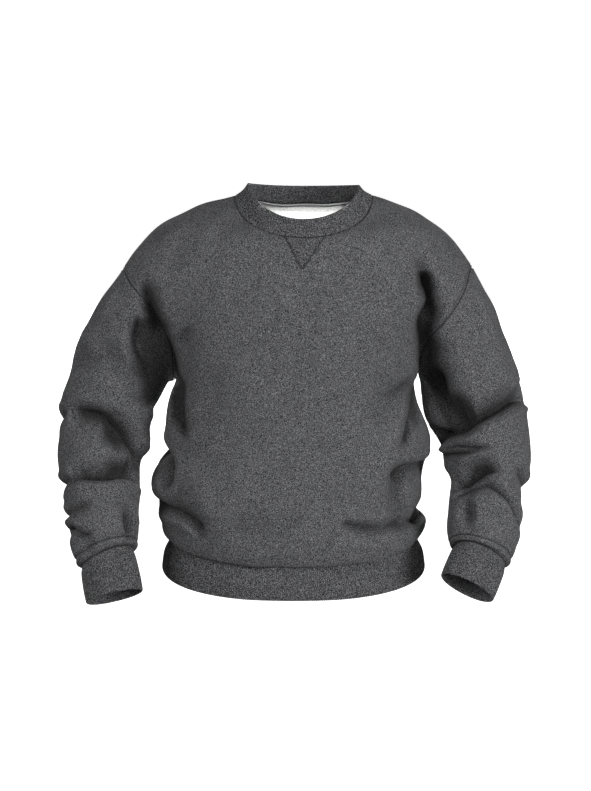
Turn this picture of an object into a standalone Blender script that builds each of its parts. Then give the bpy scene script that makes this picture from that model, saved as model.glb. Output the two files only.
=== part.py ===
"""A crewneck sweatshirt in brushed fleece, filled out as if worn, with nothing inside it.

The cloth is one smooth surface, a torso and two arms blended at the shoulders. Each cut piece is
a grid of points on that surface, bounded by its seams and given a wall, so that neighbours share
their seam points and stand a hair apart. Sizes are in millimetres and become metres in the mesh.
The wearer faces -Y, so the wearer's right side is at -X. The origin is the middle of the neck at
the height where the shoulders meet it.
"""

import math
from collections import namedtuple

import bpy
import numpy as np

NAME = "crewneck_sweatshirt"
MM = 0.001

# Walls and seams
FLEECE = 2.4  # thickness of the brushed fleece
RIB = 2.6  # thickness of the doubled rib, without its wales
WALE = 0.8  # height of a wale above the rib
SEAM = 0.2  # how far each piece stands back from a seam line
TAPE = 1.0  # thickness of the neck tape
TAPE_HEIGHT = 9.0
INSERT = 1.2  # thickness of the V insert
LAID_ON = 0.4  # gap under a piece that lies on a panel

# V insert
INSERT_LEFT, INSERT_RIGHT = -29.0, 32.0
INSERT_TIP = (-3.0, -113.0, -99.0)
INSERT_BELOW = 2.6  # how far its top edge lies below the neck seam
INSERT_STEPS = 6

# Grids
ACROSS = 24  # columns of a panel
SHOULDER = 6  # columns from the shoulder tip to the neck
ARMHOLE = 9  # rows from the shoulder tip to the armpit
SIDE = 11  # rows from the armpit to the hem roll
ROUND = 2 * ARMHOLE  # columns round a sleeve
CAP = 8  # rows of a sleeve above the armpit
TUBE = 17  # rows of a sleeve below it
ROLL = 5  # rows of a rolled edge
CAP_DROP = 45.0  # how far below the armpit the plain tube begins

# Neckline: a sloping ellipse, deeper in front
NECK_HALF = 105.0
NECK_FRONT, NECK_BACK = 100.0, 68.0
NECK_DROP_FRONT, NECK_DROP_BACK = 52.0, 15.0
COLLAR_HALF = 84.0
COLLAR_FRONT, COLLAR_BACK = 85.0, 54.0
COLLAR_RISE, COLLAR_TOP_FRONT, COLLAR_TOP_BACK = 14.0, -27.0, 10.0

# Armholes and seams
BLEND_SOFT, BLEND_SHARP = 24.0, 2.0  # how softly the torso runs into the arm
BLEND_FROM, BLEND_TO = -235.0, -305.0  # heights between which it sharpens
PIT_DEPTH = 6.0  # where the side seam lies, from front to back
PIT_CORNER = 42.0  # how far from there the armhole seam turns under the arm
GAP_ROUNDING = 3.0

# Hem
HEM_START = -504.0
RIB_TOP_SIDE, RIB_TOP_FRONT = -510.0, -524.0
HEM_TUCK = 18.0  # how far the rib's top lies inside the body
HEM_HEIGHT = 69.0
HEM_FLARE = ((0.0, 0.0), (0.35, 3.0), (0.7, 14.0), (1.0, 17.0))

Section = namedtuple("Section", "height middle half front back corner")
TORSO = [
    Section(-560, -16.0, 203, 152, 138, 2.2),
    Section(-520, -16.0, 206, 157, 143, 2.2),
    Section(-500, -15.5, 207, 157, 143, 2.25),
    Section(-487, -29.0, 200, 156, 142, 2.25),
    Section(-476, -27.0, 208, 155, 141, 2.25),
    Section(-455, -27.0, 210, 152, 138, 2.3),
    Section(-430, -23.0, 210, 147, 132, 2.3),
    Section(-400, -13.5, 210, 142, 126, 2.3),
    Section(-380, -10.0, 207, 139, 122, 2.35),
    Section(-342, -14.0, 199, 135, 116, 2.4),
    Section(-304, -16.5, 189, 132, 113, 2.4),
    Section(-270, -12.5, 183, 131, 115, 2.4),
    Section(-240, -12.0, 182, 130, 117, 2.4),
    Section(-200, -11.0, 192, 128, 118, 2.35),
    Section(-160, -11.0, 212, 124, 115, 2.3),
    Section(-120, -11.0, 227, 117, 110, 2.25),
    Section(-90, -13.0, 221, 111, 104, 2.2),
    Section(-71, -12.0, 213, 107, 99, 2.2),
    Section(-52, -10.0, 201, 98, 92, 2.2),
    Section(-41, -8.0, 199, 78, 87, 2.2),
    Section(-28, -6.0, 184, 55, 80, 2.2),
    Section(-16, -2.5, 155, 36, 69, 2.2),
    Section(-7, -1.7, 130, 22, 46, 2.2),
    Section(0, -0.7, 105, 10, 20, 2.2),
    Section(8, 0.0, 75, 6, 8, 2.2),
]

ArmRow = namedtuple("ArmRow", "x y z across deep")
ARMS = {
    "right": [
        ArmRow(-189, 4, -126, 79, 76),
        ArmRow(-242, 5, -200, 80, 76),
        ArmRow(-274, 6, -250, 77, 75),
        ArmRow(-291, 4, -298, 75, 73),
        ArmRow(-306, -4, -338, 72, 70),
        ArmRow(-310, -18, -372, 68, 67),
        ArmRow(-313, -36, -402, 65, 63),
        ArmRow(-311, -55, -432, 60, 60),
        ArmRow(-308, -75, -462, 57, 57),
        ArmRow(-305, -96, -492, 55, 54),
        ArmRow(-301, -112, -514, 50, 46),
    ],
    "left": [
        ArmRow(174, 4, -126, 79, 76),
        ArmRow(215, 4, -194, 80, 76),
        ArmRow(244, 5, -248, 74, 75),
        ArmRow(259, 4, -300, 78, 74),
        ArmRow(269, -4, -337, 77, 71),
        ArmRow(278, -18, -370, 71, 68),
        ArmRow(283, -36, -402, 67, 64),
        ArmRow(283, -50, -425, 60, 60),
        ArmRow(278, -66, -448, 54, 57),
        ArmRow(276, -82, -470, 55, 56),
        ArmRow(274, -98, -494, 56, 54),
        ArmRow(270, -113, -514, 51, 46),
    ],
}
CUFFS = {
    "right": [ArmRow(-298, -122, -527, 39, 34), ArmRow(-283, -160, -585, 43, 25)],
    "left": [ArmRow(267, -124, -530, 40, 34), ArmRow(244, -160, -571, 43, 27)],
}

# The front armhole seam, from the shoulder tip down; it ends at the armpit. Behind, y changes sign.
SeamRow = namedtuple("SeamRow", "x y z")
ARMHOLES = {
    "right": [
        SeamRow(-278, 9, -107),
        SeamRow(-266, -40, -125),
        SeamRow(-245, -56, -149),
        SeamRow(-218, -64, -189),
        SeamRow(-201, -60, -218),
    ],
    "left": [
        SeamRow(258, 9, -111),
        SeamRow(247, -40, -133),
        SeamRow(231, -56, -160),
        SeamRow(206, -63, -190),
        SeamRow(186, -60, -219),
    ],
}

# The gap below each armpit: the middle of its top, how it leans outwards going down, its half
# width at the top, how fast that grows, and its length.
Gap = namedtuple("Gap", "x z lean radius spread length")
GAPS = {
    "right": Gap(-199, -274, -0.45, 3.5, 0.10, 60),
    "left": Gap(172, -272, 0.2, 3.0, 0.01, 40),
}

# The largest folds, each a line from one point to another as seen from its face. Depth above 0
# raises a ridge and below 0 presses a valley, and bow curves the line sideways.
Fold = namedtuple("Fold", "piece face x0 z0 x1 z1 bow width depth")
FOLDS = [
    Fold("body", "front", -230, -128, -186, -252, 8, 26, -9),
    Fold("body", "front", 178, -84, 182, -236, -14, 26, -9),
    Fold("body", "front", -230, -388, -176, -440, 8, 28, -8),
    Fold("body", "front", 136, -384, 146, -470, 24, 30, -8),
    Fold("body", "front", 40, -470, 190, -484, 8, 24, -5),
    Fold("body", "back", -200, -310, -110, -224, 12, 32, -8),
    Fold("body", "back", 176, -310, 90, -224, -12, 32, -8),
    Fold("body", "back", -150, -446, -30, -462, 8, 30, -6),
    Fold("body", "back", 40, -458, 160, -438, -8, 30, -6),
    Fold("right", "front", -352, -318, -244, -390, -18, 19, -9),
    Fold("right", "front", -352, -430, -246, -448, -14, 19, -6),
    Fold("right", "back", -356, -330, -250, -352, 10, 20, -8),
    Fold("right", "back", -356, -404, -262, -420, 10, 20, -6),
    Fold("left", "front", 340, -316, 208, -390, 18, 19, -9),
    Fold("left", "front", 228, -446, 326, -456, -30, 19, -7),
    Fold("left", "back", 330, -334, 222, -356, -10, 20, -8),
    Fold("left", "back", 330, -406, 236, -420, -10, 20, -6),
]


class SmoothTable:
    """Rows of numbers at rising keys, joined by curves that never overshoot a row."""

    def __init__(self, keys, values):
        self.keys = np.asarray(keys, float)
        self.values = np.asarray(values, float)
        steps = np.diff(self.keys)[:, None]
        slopes = np.diff(self.values, axis=0) / steps
        before, after = slopes[:-1], slopes[1:]
        same_way = before * after > 0
        total = np.where(same_way, before + after, 1.0)
        middle = np.where(same_way, 2 * before * after / total, 0.0)
        self.tangents = np.vstack([slopes[:1], middle, slopes[-1:]])

    def __call__(self, at):
        at = np.clip(at, self.keys[0], self.keys[-1])
        row = np.clip(np.searchsorted(self.keys, at, side="right") - 1, 0, len(self.keys) - 2)
        step = self.keys[row + 1] - self.keys[row]
        t = ((at - self.keys[row]) / step)[..., None]
        step = step[..., None]
        return (
            self.values[row] * (1 + 2 * t) * (1 - t) ** 2
            + self.tangents[row] * step * t * (1 - t) ** 2
            + self.values[row + 1] * t * t * (3 - 2 * t)
            - self.tangents[row + 1] * step * t * t * (1 - t)
        )


def unit(vectors):
    """The vectors at length 1."""
    return vectors / np.maximum(np.linalg.norm(vectors, axis=-1, keepdims=True), 1e-9)


def dot(first, second):
    """Row by row dot product, kept as a column."""
    return (first * second).sum(axis=-1, keepdims=True)


def eased(low, high, value):
    """0 below low, 1 above high, smooth between."""
    t = np.clip((value - low) / (high - low), 0.0, 1.0)
    return t * t * (3 - 2 * t)


TORSO_TABLE = SmoothTable([row.height for row in TORSO], [row[1:] for row in TORSO])


def torso_level(points):
    """Below 0 inside the torso, 0 on its surface, about the distance in millimetres near it."""
    middle, half, front, back, corner = TORSO_TABLE(points[:, 2]).T
    depth = np.where(points[:, 1] < 0, front, back)
    across = np.abs(points[:, 0] - middle) / half
    along = np.abs(points[:, 1]) / depth
    return ((across**corner + along**corner) ** (1 / corner) - 1) * np.minimum(half, depth)


class Arm:
    """The tube that one sleeve hangs on, from inside the shoulder to the cuff."""

    SAMPLES = 180
    SOFTENING = 120  # rounds that even out the way the tube points

    def __init__(self, rows):
        rows = np.array(rows, float)
        steps = np.linalg.norm(np.diff(rows[:, :3], axis=0), axis=1)
        keys = np.concatenate([[0.0], np.cumsum(steps)])
        self.last = keys[-1]
        self.keys = np.linspace(0, self.last, self.SAMPLES)
        self.spine = SmoothTable(keys, rows)(self.keys)
        self.tangents = np.gradient(self.spine[:, :3], axis=0)
        self.lengths = np.linalg.norm(self.tangents, axis=1)
        for _ in range(self.SOFTENING):
            padded = np.vstack([self.tangents[:1], self.tangents, self.tangents[-1:]])
            self.tangents = (padded[:-2] + 2 * padded[1:-1] + padded[2:]) / 4
        self.tangents = unit(self.tangents)

    def frame(self, tangents):
        """Unit directions towards the front and towards the inner side, across the tube."""
        front = np.array([0.0, -1.0, 0.0]) - dot(tangents, np.array([0.0, -1.0, 0.0])) * tangents
        front = unit(front)
        return front, np.cross(front, tangents)

    def level(self, points):
        """As torso_level, for this tube."""
        nearest = ((points[:, None] - self.spine[None, :, :3]) ** 2).sum(axis=2).argmin(axis=1)
        along = dot(points - self.spine[nearest, :3], self.tangents[nearest])[:, 0]
        place = np.clip(nearest + along / self.lengths[nearest], 0, self.SAMPLES - 1)
        low = np.minimum(place.astype(int), self.SAMPLES - 2)
        part = (place - low)[:, None]
        row = self.spine[low] * (1 - part) + self.spine[low + 1] * part
        tangent = unit(self.tangents[low] * (1 - part) + self.tangents[low + 1] * part)
        front, side = self.frame(tangent)
        away = points - row[:, :3]
        across, deep = row[:, 3:4], row[:, 4:5]
        ratio = np.sqrt(
            (dot(away, side) / across) ** 2
            + (dot(away, front) / deep) ** 2
            + (dot(away, tangent) / deep) ** 2
        )
        return ((ratio - 1) * np.minimum(across, deep))[:, 0]

    def ring(self, key, angles):
        """Points and normals round the tube, from its inner side past the front."""
        row = np.array([np.interp(key, self.keys, column) for column in self.spine.T])
        tangent = unit(np.array([np.interp(key, self.keys, column) for column in self.tangents.T]))
        front, side = self.frame(tangent[None])
        side = side * -np.sign(side[0, 0] * row[0])
        cos, sin = np.cos(angles)[:, None], np.sin(angles)[:, None]
        points = row[:3] + side * cos * row[3] + front * sin * row[4]
        normals = unit(side * cos / row[3] + front * sin / row[4])
        return points, normals, tangent


ARM = {side: Arm(rows) for side, rows in ARMS.items()}


def blended(first, second, radius):
    """The smaller of two levels, rounded where they meet."""
    part = np.clip(0.5 + 0.5 * (second - first) / radius, 0.0, 1.0)
    return second * (1 - part) + first * part - radius * part * (1 - part)


def gap_level(points, gap):
    """Above 0 inside the round-topped gap that parts the arm from the torso."""
    way = unit(np.array([gap.lean, -1.0]))
    away = points[:, [0, 2]] - np.array([gap.x, gap.z - gap.radius])
    along = np.clip(away @ way, 0, gap.length)
    return gap.radius + gap.spread * along - np.linalg.norm(away - along[:, None] * way, axis=1)


def cloth_level(points):
    """The whole surface: torso and arms run together above the gaps at the armpits."""
    level = torso_level(points)
    radius = BLEND_SHARP + (BLEND_SOFT - BLEND_SHARP) * eased(BLEND_TO, BLEND_FROM, points[:, 2])
    for side, arm in ARM.items():
        level = blended(level, arm.level(points), radius)
    for gap in GAPS.values():
        level = -blended(-level, -gap_level(points, gap), GAP_ROUNDING)
    return level


def slope(points):
    """The level at the points and its gradient there."""
    reach = 0.6
    columns = []
    for axis in range(3):
        step = np.zeros(3)
        step[axis] = reach
        columns.append((cloth_level(points + step) - cloth_level(points - step)) / (2 * reach))
    return cloth_level(points), np.stack(columns, axis=1)


def settled(points, steps=6, hold_x=False):
    """The points moved onto the surface along its normals, or only fore, aft, up and down."""
    shape = points.shape
    points = points.reshape(-1, 3).copy()
    for _ in range(steps):
        value, gradient = slope(points)
        if hold_x:
            gradient[:, 0] = 0.0
        move = (value / np.maximum((gradient**2).sum(axis=1), 0.05))[:, None] * gradient
        length = np.linalg.norm(move, axis=1, keepdims=True)
        points -= move * np.minimum(1.0, 30.0 / np.maximum(length, 1e-9))
    return points.reshape(shape)


def normals_of(points):
    """Outward unit normals of the surface at the points."""
    flat = points.reshape(-1, 3)
    return unit(slope(flat)[1]).reshape(points.shape)


def even_run(points, count, hold_x=False):
    """count + 1 points spaced evenly on the cloth, along a smooth curve through the given ones."""
    points = np.asarray(points, float)
    keys = np.concatenate([[0.0], np.cumsum(np.linalg.norm(np.diff(points, axis=0), axis=1))])
    fine = SmoothTable(keys, points)(np.linspace(0, keys[-1], 40 * count + 1))
    fine = settled(fine, hold_x=hold_x)
    lengths = np.concatenate([[0.0], np.cumsum(np.linalg.norm(np.diff(fine, axis=0), axis=1))])
    wanted = np.linspace(0, lengths[-1], count + 1)
    return np.stack([np.interp(wanted, lengths, fine[:, axis]) for axis in range(3)], axis=1)


# Seam lines


def neckline(angles):
    """Points of the neck seam; angle 0 is the wearer's left, and -90 degrees the front."""
    cos, sin = np.cos(angles), np.sin(angles)
    deep = np.where(sin < 0, NECK_FRONT, NECK_BACK)
    drop = np.where(sin < 0, NECK_DROP_FRONT, NECK_DROP_BACK)
    rough = np.stack([NECK_HALF * cos, deep * sin, -drop * np.abs(sin)], axis=1)
    return settled(rough)


def seam_lines():
    """Each seam as evenly spaced points, by name."""
    neck_count = ACROSS - 2 * SHOULDER
    overlap = math.radians(5)
    lines = {}
    front_angles = np.linspace(-math.pi - overlap, overlap, 60)
    back_angles = np.linspace(math.pi - overlap, overlap, 60)
    lines["neck_front"] = even_run(neckline(front_angles), neck_count)
    lines["neck_back"] = even_run(neckline(back_angles), neck_count)
    for side, place in (("right", 0), ("left", -1)):
        sign = -1 if side == "right" else 1
        gap = GAPS[side]
        corner = (gap.x, PIT_DEPTH - PIT_CORNER, gap.z)
        rows = np.array([*ARMHOLES[side], corner, (gap.x, PIT_DEPTH, gap.z)], float)
        behind = rows * [1, -0.94, 1]
        behind[0], behind[-1] = rows[0], rows[-1]
        behind[-2, 1] = PIT_DEPTH + PIT_CORNER
        lines["armhole_front_" + side] = even_run(rows, ARMHOLE, True)
        lines["armhole_back_" + side] = even_run(behind, ARMHOLE, True)
        tip = lines["armhole_front_" + side][0]
        lines["armhole_back_" + side][0] = tip
        pit = lines["armhole_front_" + side][-1]
        lines["armhole_back_" + side][-1] = pit
        neck = lines["neck_front"][place]
        middle = (tip + neck) / 2 + np.array([0, 0, 8.0])
        shoulder = even_run([tip, middle, neck], SHOULDER)
        shoulder[0], shoulder[-1] = tip, neck
        lines["shoulder_" + side] = shoulder
        heights = np.linspace(pit[2], HEM_START, 14)
        width = TORSO_TABLE(heights)
        down = np.stack([width[:, 0] + sign * width[:, 1], heights * 0 + 3.0, heights], axis=1)
        down[0] = pit
        lines["side_" + side] = even_run(down, SIDE)
        lines["side_" + side][0] = pit
    for face, sign in (("front", -1), ("back", 1)):
        start, end = lines["side_right"][-1], lines["side_left"][-1]
        turns = np.linspace(math.pi, 0, 60)
        section = TORSO_TABLE(np.array([HEM_START]))[0]
        deep = section[2] if face == "front" else section[3]
        run = np.stack(
            [
                section[0] + section[1] * np.cos(turns),
                sign * deep * np.sin(turns),
                np.full(len(turns), HEM_START),
            ],
            axis=1,
        )
        run[0], run[-1] = start, end
        lines["hem_" + face] = even_run(run, ACROSS)
        lines["hem_" + face][0], lines["hem_" + face][-1] = start, end
    return lines


# Grids on the cloth


def coons(top, bottom, left, right):
    """A grid between four edges; rows run from top to bottom."""
    v = np.linspace(0, 1, len(left))[:, None, None]
    u = np.linspace(0, 1, len(top))[None, :, None]
    across = (1 - v) * top[None] + v * bottom[None]
    down = (1 - u) * left[:, None] + u * right[:, None]
    corners = (1 - v) * ((1 - u) * top[0] + u * top[-1]) + v * ((1 - u) * bottom[0] + u * bottom[-1])
    return across + down - corners


def relaxed(grid, rounds=40):
    """The grid's inner points spread evenly over the surface; its edges stay."""
    grid = grid.copy()
    for _ in range(rounds):
        inner = (grid[:-2, 1:-1] + grid[2:, 1:-1] + grid[1:-1, :-2] + grid[1:-1, 2:]) / 4
        grid[1:-1, 1:-1] = settled((inner + grid[1:-1, 1:-1]) / 2, 1)
    grid[1:-1, 1:-1] = settled(grid[1:-1, 1:-1])
    return grid


def fold_path(fold):
    """Points of one fold's line on the cloth, their normals and their cross directions."""
    t = np.linspace(0, 1, 28)[:, None]
    start, end = np.array([fold.x0, 0.0, fold.z0]), np.array([fold.x1, 0.0, fold.z1])
    sideways = unit(np.array([[end[2] - start[2], 0.0, start[0] - end[0]]]))
    line = start + (end - start) * t + sideways * fold.bow * 4 * t * (1 - t)
    sign = -1.0 if fold.face == "front" else 1.0
    line[:, 1] = sign * 200.0
    near, far = np.zeros(len(line)), np.full(len(line), 200.0)
    for _ in range(18):
        middle = (near + far) / 2
        trial = line.copy()
        trial[:, 1] = sign * middle
        outside = cloth_level(trial) > 0
        far = np.where(outside, middle, far)
        near = np.where(outside, near, middle)
    line[:, 1] = sign * near
    line = settled(line)
    normals = normals_of(line)
    tangents = unit(np.gradient(line, axis=0))
    return line, normals, tangents, np.cross(normals, tangents)


FOLD_PATHS = [(fold, *fold_path(fold)) for fold in FOLDS]


def fold_height(points, piece):
    """How far the folds of one piece move each point along its normal."""
    total = np.zeros(len(points))
    for fold, line, normals, tangents, across in FOLD_PATHS:
        if fold.piece != piece:
            continue
        gaps = ((points[:, None] - line[None]) ** 2).sum(axis=2)
        nearest = gaps.argmin(axis=1)
        away = points - line[nearest]
        sideways = dot(away, across[nearest])[:, 0]
        run = np.linalg.norm(np.diff(line, axis=0), axis=1).sum()
        along = nearest / (len(line) - 1) + dot(away, tangents[nearest])[:, 0] / run
        ends = eased(-0.05, 0.25, along) * (1 - eased(0.75, 1.05, along))
        through = np.exp(-((dot(away, normals[nearest])[:, 0] / 45.0) ** 2))
        ratio = sideways / fold.width
        profile = np.exp(-(ratio**2)) - 0.4 * np.exp(-((np.abs(ratio) - 1.9) ** 2) * 1.4)
        total += fold.depth * profile * ends * through
    return total


def folded(points, piece):
    """The points pushed out or in by the folds, and the normals of the plain surface."""
    flat = points.reshape(-1, 3)
    normals = normals_of(flat)
    moved = flat + normals * fold_height(flat, piece)[:, None]
    return moved.reshape(points.shape), normals.reshape(points.shape)


def bezier(p0, p1, p2, p3, count):
    """count + 1 points along each of the given cubic curves, and their directions."""
    t = np.linspace(0, 1, count + 1)[:, None, None]
    points = (1 - t) ** 3 * p0 + 3 * t * (1 - t) ** 2 * p1 + 3 * t * t * (1 - t) * p2 + t**3 * p3
    ways = (1 - t) ** 2 * (p1 - p0) + 2 * t * (1 - t) * (p2 - p1) + t * t * (p3 - p2)
    return points, unit(ways)


def swept(start, normals, down, first, last, end, count):
    """Rows of a band that leaves the cloth at start and ends at end, and their normals."""
    points, ways = bezier(start, start + down * first, last, end, count)
    round_way = np.cross(normals, down)
    return points, unit(np.cross(ways, round_way[None]))


def downward(normals):
    """The steepest way down along the surface."""
    down = np.array([0.0, 0.0, -1.0])
    return unit(down - dot(normals, down) * normals)


def front_share(points):
    """0 at the sides of the body, 1 at the middle of its front or back."""
    middle, _, front, back, _ = TORSO_TABLE(np.full(len(points), HEM_START)).T
    deep = np.where(points[:, 1] < 0, front, back)
    return np.clip(np.abs(points[:, 1]) / deep, 0, 1)


def rib_top(start, normals):
    """Where the hem rib's upper edge lies under the points that the hem roll starts from."""
    level_way = unit(normals * [1, 1, 0])
    share = np.clip(-start[:, 1:2] / NECK_FRONT, 0, 1.5) / 1.5
    top = start - level_way * HEM_TUCK
    top[:, 2:] = RIB_TOP_SIDE + (RIB_TOP_FRONT - RIB_TOP_SIDE) * share
    return top, level_way


def hem_roll(start, normals):
    """The body's lower edge, which blouses over the rib and turns up under it."""
    end, level_way = rib_top(start, normals)
    share = front_share(start)[:, None]
    first = 12 + 24 * share
    last = end + level_way * 11.0 - np.array([0, 0, 1.0]) * (8 + 28 * share)
    return swept(start, normals, downward(normals), first, last, end, ROLL)


def panel(face, lines):
    """Points and normals of the front or the back, rows from shoulder to hem."""
    top = np.vstack(
        [
            lines["shoulder_right"],
            lines["neck_" + face][1:-1],
            lines["shoulder_left"][::-1],
        ]
    )
    left = np.vstack([lines[f"armhole_{face}_right"], lines["side_right"][1:]])
    right = np.vstack([lines[f"armhole_{face}_left"], lines["side_left"][1:]])
    grid = relaxed(coons(top, lines["hem_" + face], left, right))
    points, normals = folded(grid, "body")
    roll_points, roll_normals = hem_roll(points[-1], normals[-1])
    return np.vstack([points, roll_points[1:]]), np.vstack([normals, roll_normals[1:]])


def sleeve(side, lines):
    """Points and normals of one sleeve, rows from armhole to cuff; column 0 is the underarm."""
    loop = np.vstack(
        [lines["armhole_front_" + side][::-1], lines["armhole_back_" + side][1:-1]]
    )
    angles = np.arange(ROUND) * 2 * math.pi / ROUND
    arm = ARM[side]
    cap_key = np.interp(CAP_DROP - GAPS[side].z, -arm.spine[:, 2], arm.keys)
    ring = settled(arm.ring(cap_key, angles)[0])
    v = np.linspace(0, 1, CAP + 1)[:, None, None]
    grid = (1 - v) * loop[None] + v * ring[None]
    for _ in range(40):
        spread = (grid[:-2] + grid[2:] + np.roll(grid, 1, 1)[1:-1] + np.roll(grid, -1, 1)[1:-1]) / 4
        grid[1:-1] = settled((spread + grid[1:-1]) / 2, 1)
    cap, cap_normals = folded(settled(grid), side)
    body_cap, body_normals = folded(loop[None], "body")
    cap[0], cap_normals[0] = body_cap[0], body_normals[0]
    rows, row_normals = [cap], [cap_normals]
    for key in np.linspace(cap_key, arm.last, TUBE + 1)[1:]:
        ring, _, way = arm.ring(key, angles)
        points, normals = folded(settled(ring), side)
        rows.append(points[None])
        row_normals.append(normals[None])
    end = cuff_ring(side, 0.0, angles)
    start, normals = rows[-1][0], row_normals[-1][0]
    last = end + normals * 6.0 - way * 1.0
    roll_points, roll_normals = swept(start, normals, way[None], 9.0, last, end, ROLL)
    rows.append(roll_points[1:])
    row_normals.append(roll_normals[1:])
    return np.vstack(rows), np.vstack(row_normals)


def cuff_ring(side, part, angles):
    """One ring of a cuff; part runs from 0 at its seam to 1 at its mouth."""
    tube = Arm(CUFFS[side])
    return tube.ring(part * tube.last, angles)[0]


# Pieces as meshes


def held_back(points, open_edges, ring=False):
    """The outer points with the named edges drawn back a little from their seams."""
    points = points.copy()
    if "top" in open_edges:
        points[0] += unit(points[1] - points[0]) * SEAM
    if "bottom" in open_edges:
        points[-1] += unit(points[-2] - points[-1]) * SEAM
    if not ring:
        points[:, 0] += unit(points[:, 1] - points[:, 0]) * SEAM
        points[:, -1] += unit(points[:, -2] - points[:, -1]) * SEAM
    return points


def wall_mesh(name, outer, inner, ring):
    """A closed wall between two equal grids of points. A ring's last column meets its first."""
    rows, columns = outer.shape[:2]
    points = np.vstack([outer.reshape(-1, 3), inner.reshape(-1, 3)]) * MM
    spans = columns if ring else columns - 1

    def corner(row, column, layer):
        return layer * rows * columns + row * columns + column % columns

    faces = []
    for row in range(rows - 1):
        for column in range(spans):
            after = (column + 1) % columns
            quad = [(row, column), (row, after), (row + 1, after), (row + 1, column)]
            falling = np.linalg.norm(outer[quad[0]] - outer[quad[2]])
            rising = np.linalg.norm(outer[quad[1]] - outer[quad[3]])
            if rising < falling:
                quad = quad[1:] + quad[:1]
            for half in ((quad[0], quad[1], quad[2]), (quad[0], quad[2], quad[3])):
                faces.append([corner(*place, 0) for place in half])
                faces.append([corner(*place, 1) for place in reversed(half)])
    def rim(first, second, flip):
        quad = [corner(*first, 0), corner(*second, 0), corner(*second, 1), corner(*first, 1)]
        falling = np.linalg.norm(points[quad[0]] - points[quad[2]])
        rising = np.linalg.norm(points[quad[1]] - points[quad[3]])
        if rising < falling:
            quad = quad[1:] + quad[:1]
        for half in ((quad[0], quad[1], quad[2]), (quad[0], quad[2], quad[3])):
            faces.append(half[::-1] if flip else half)

    for column in range(spans):
        rim((0, column), (0, column + 1), True)
        rim((rows - 1, column), (rows - 1, column + 1), False)
    if not ring:
        for row in range(rows - 1):
            rim((row, 0), (row + 1, 0), False)
            rim((row, columns - 1), (row + 1, columns - 1), True)
    return finished_mesh(name, points, faces)


def finished_mesh(name, points, faces):
    """A mesh whose faces point outwards."""
    mesh = bpy.data.meshes.new(name)
    mesh.from_pydata(points.tolist(), [], faces)
    mesh.update()
    if signed_volume(mesh) < 0:
        mesh.flip_normals()
    mesh.shade_smooth()
    mesh.set_sharp_from_angle(angle=math.radians(50))
    return mesh


def signed_volume(mesh):
    """Six times the volume inside the mesh, negative where its faces point inwards."""
    mesh.calc_loop_triangles()
    points = np.empty(len(mesh.vertices) * 3)
    mesh.vertices.foreach_get("co", points)
    corners = np.empty(len(mesh.loop_triangles) * 3, int)
    mesh.loop_triangles.foreach_get("vertices", corners)
    return np.linalg.det(points.reshape(-1, 3)[corners.reshape(-1, 3)]).sum()


def ribbed_mesh(name, outer, inner, wales):
    """A ring with wales raised on its outside and a plain inside of one column to each span.

    Args:
        outer: rows of smooth points and normals, wales * 2 columns to each inner column.
        inner: rows of plain points.
        wales: wales to each inner column.
    """
    rows, plain = inner.shape[:2]
    per = 2 * wales
    fine = plain * per
    points = np.vstack([outer.reshape(-1, 3), inner.reshape(-1, 3)]) * MM
    base = rows * fine

    def quads(start, width):
        for row in range(rows - 1):
            low, high = start + row * width, start + (row + 1) * width
            for column in range(width):
                after = (column + 1) % width
                yield [low + column, low + after, high + after, high + column]

    faces = list(quads(0, fine)) + [quad[::-1] for quad in quads(base, plain)]
    for row, flip in ((0, True), (rows - 1, False)):
        for column in range(plain):
            here, after = base + row * plain + column, base + row * plain + (column + 1) % plain
            fan = [row * fine + (column * per + step) % fine for step in range(per + 1)]
            parts = [[fan[step], fan[step + 1], here] for step in range(wales)]
            parts.append([fan[wales], after, here])
            parts += [[fan[step], fan[step + 1], after] for step in range(wales, per)]
            faces += [part[::-1] if flip else part for part in parts]
    return finished_mesh(name, points, faces)


def between(ring, per, smooth=True):
    """A ring of points with per steps in each span, along curves or straight."""
    count = len(ring)
    part = np.arange(per) / per
    t = part[None, :, None]
    here, after = ring[:, None], np.roll(ring, -1, 0)[:, None]
    if not smooth:
        return (here * (1 - t) + after * t).reshape(count * per, -1)
    before, beyond = np.roll(ring, 1, 0)[:, None], np.roll(ring, -2, 0)[:, None]
    cubic = 0.5 * (
        2 * here
        + (after - before) * t
        + (2 * before - 5 * here + 4 * after - beyond) * t * t
        + (3 * here - before - 3 * after + beyond) * t**3
    )
    return cubic.reshape(count * per, -1)


def rib_ring(name, rows, normals, wales):
    """A ribbed ring from its rows of plain points. Its first row is flat, to meet a seam."""
    per = 2 * wales
    outer = [between(rows[0], per, False)]
    for row, normal in zip(rows[1:], normals[1:]):
        points, ways = between(row, per), unit(between(normal, per))
        raised = np.where(np.arange(len(points)) % 2 == 1, WALE, 0.0)[:, None]
        outer.append(points + ways * raised)
    inner = rows - normals * RIB
    return ribbed_mesh(name, np.array(outer), inner, wales)


def hem_rib(panels):
    """The hem band, hung from the rolled edge of the front and back."""
    front, back = panels["front"], panels["back"]
    last = SIDE + ARMHOLE
    start = np.vstack([front[0][last], back[0][last][-2:0:-1]])
    normals = np.vstack([front[1][last], back[1][last][-2:0:-1]])
    top, level_way = rib_top(start, normals)
    rows = []
    for part, flare in HEM_FLARE:
        row = top + level_way * flare
        row[:, 2] -= part * HEM_HEIGHT
        rows.append(row)
    rows = np.array(rows)
    rows[0, :, 2] -= 2 * SEAM
    ways = np.repeat(level_way[None], len(rows), axis=0)
    return rib_ring("hem_rib", rows, ways, 3)


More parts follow.
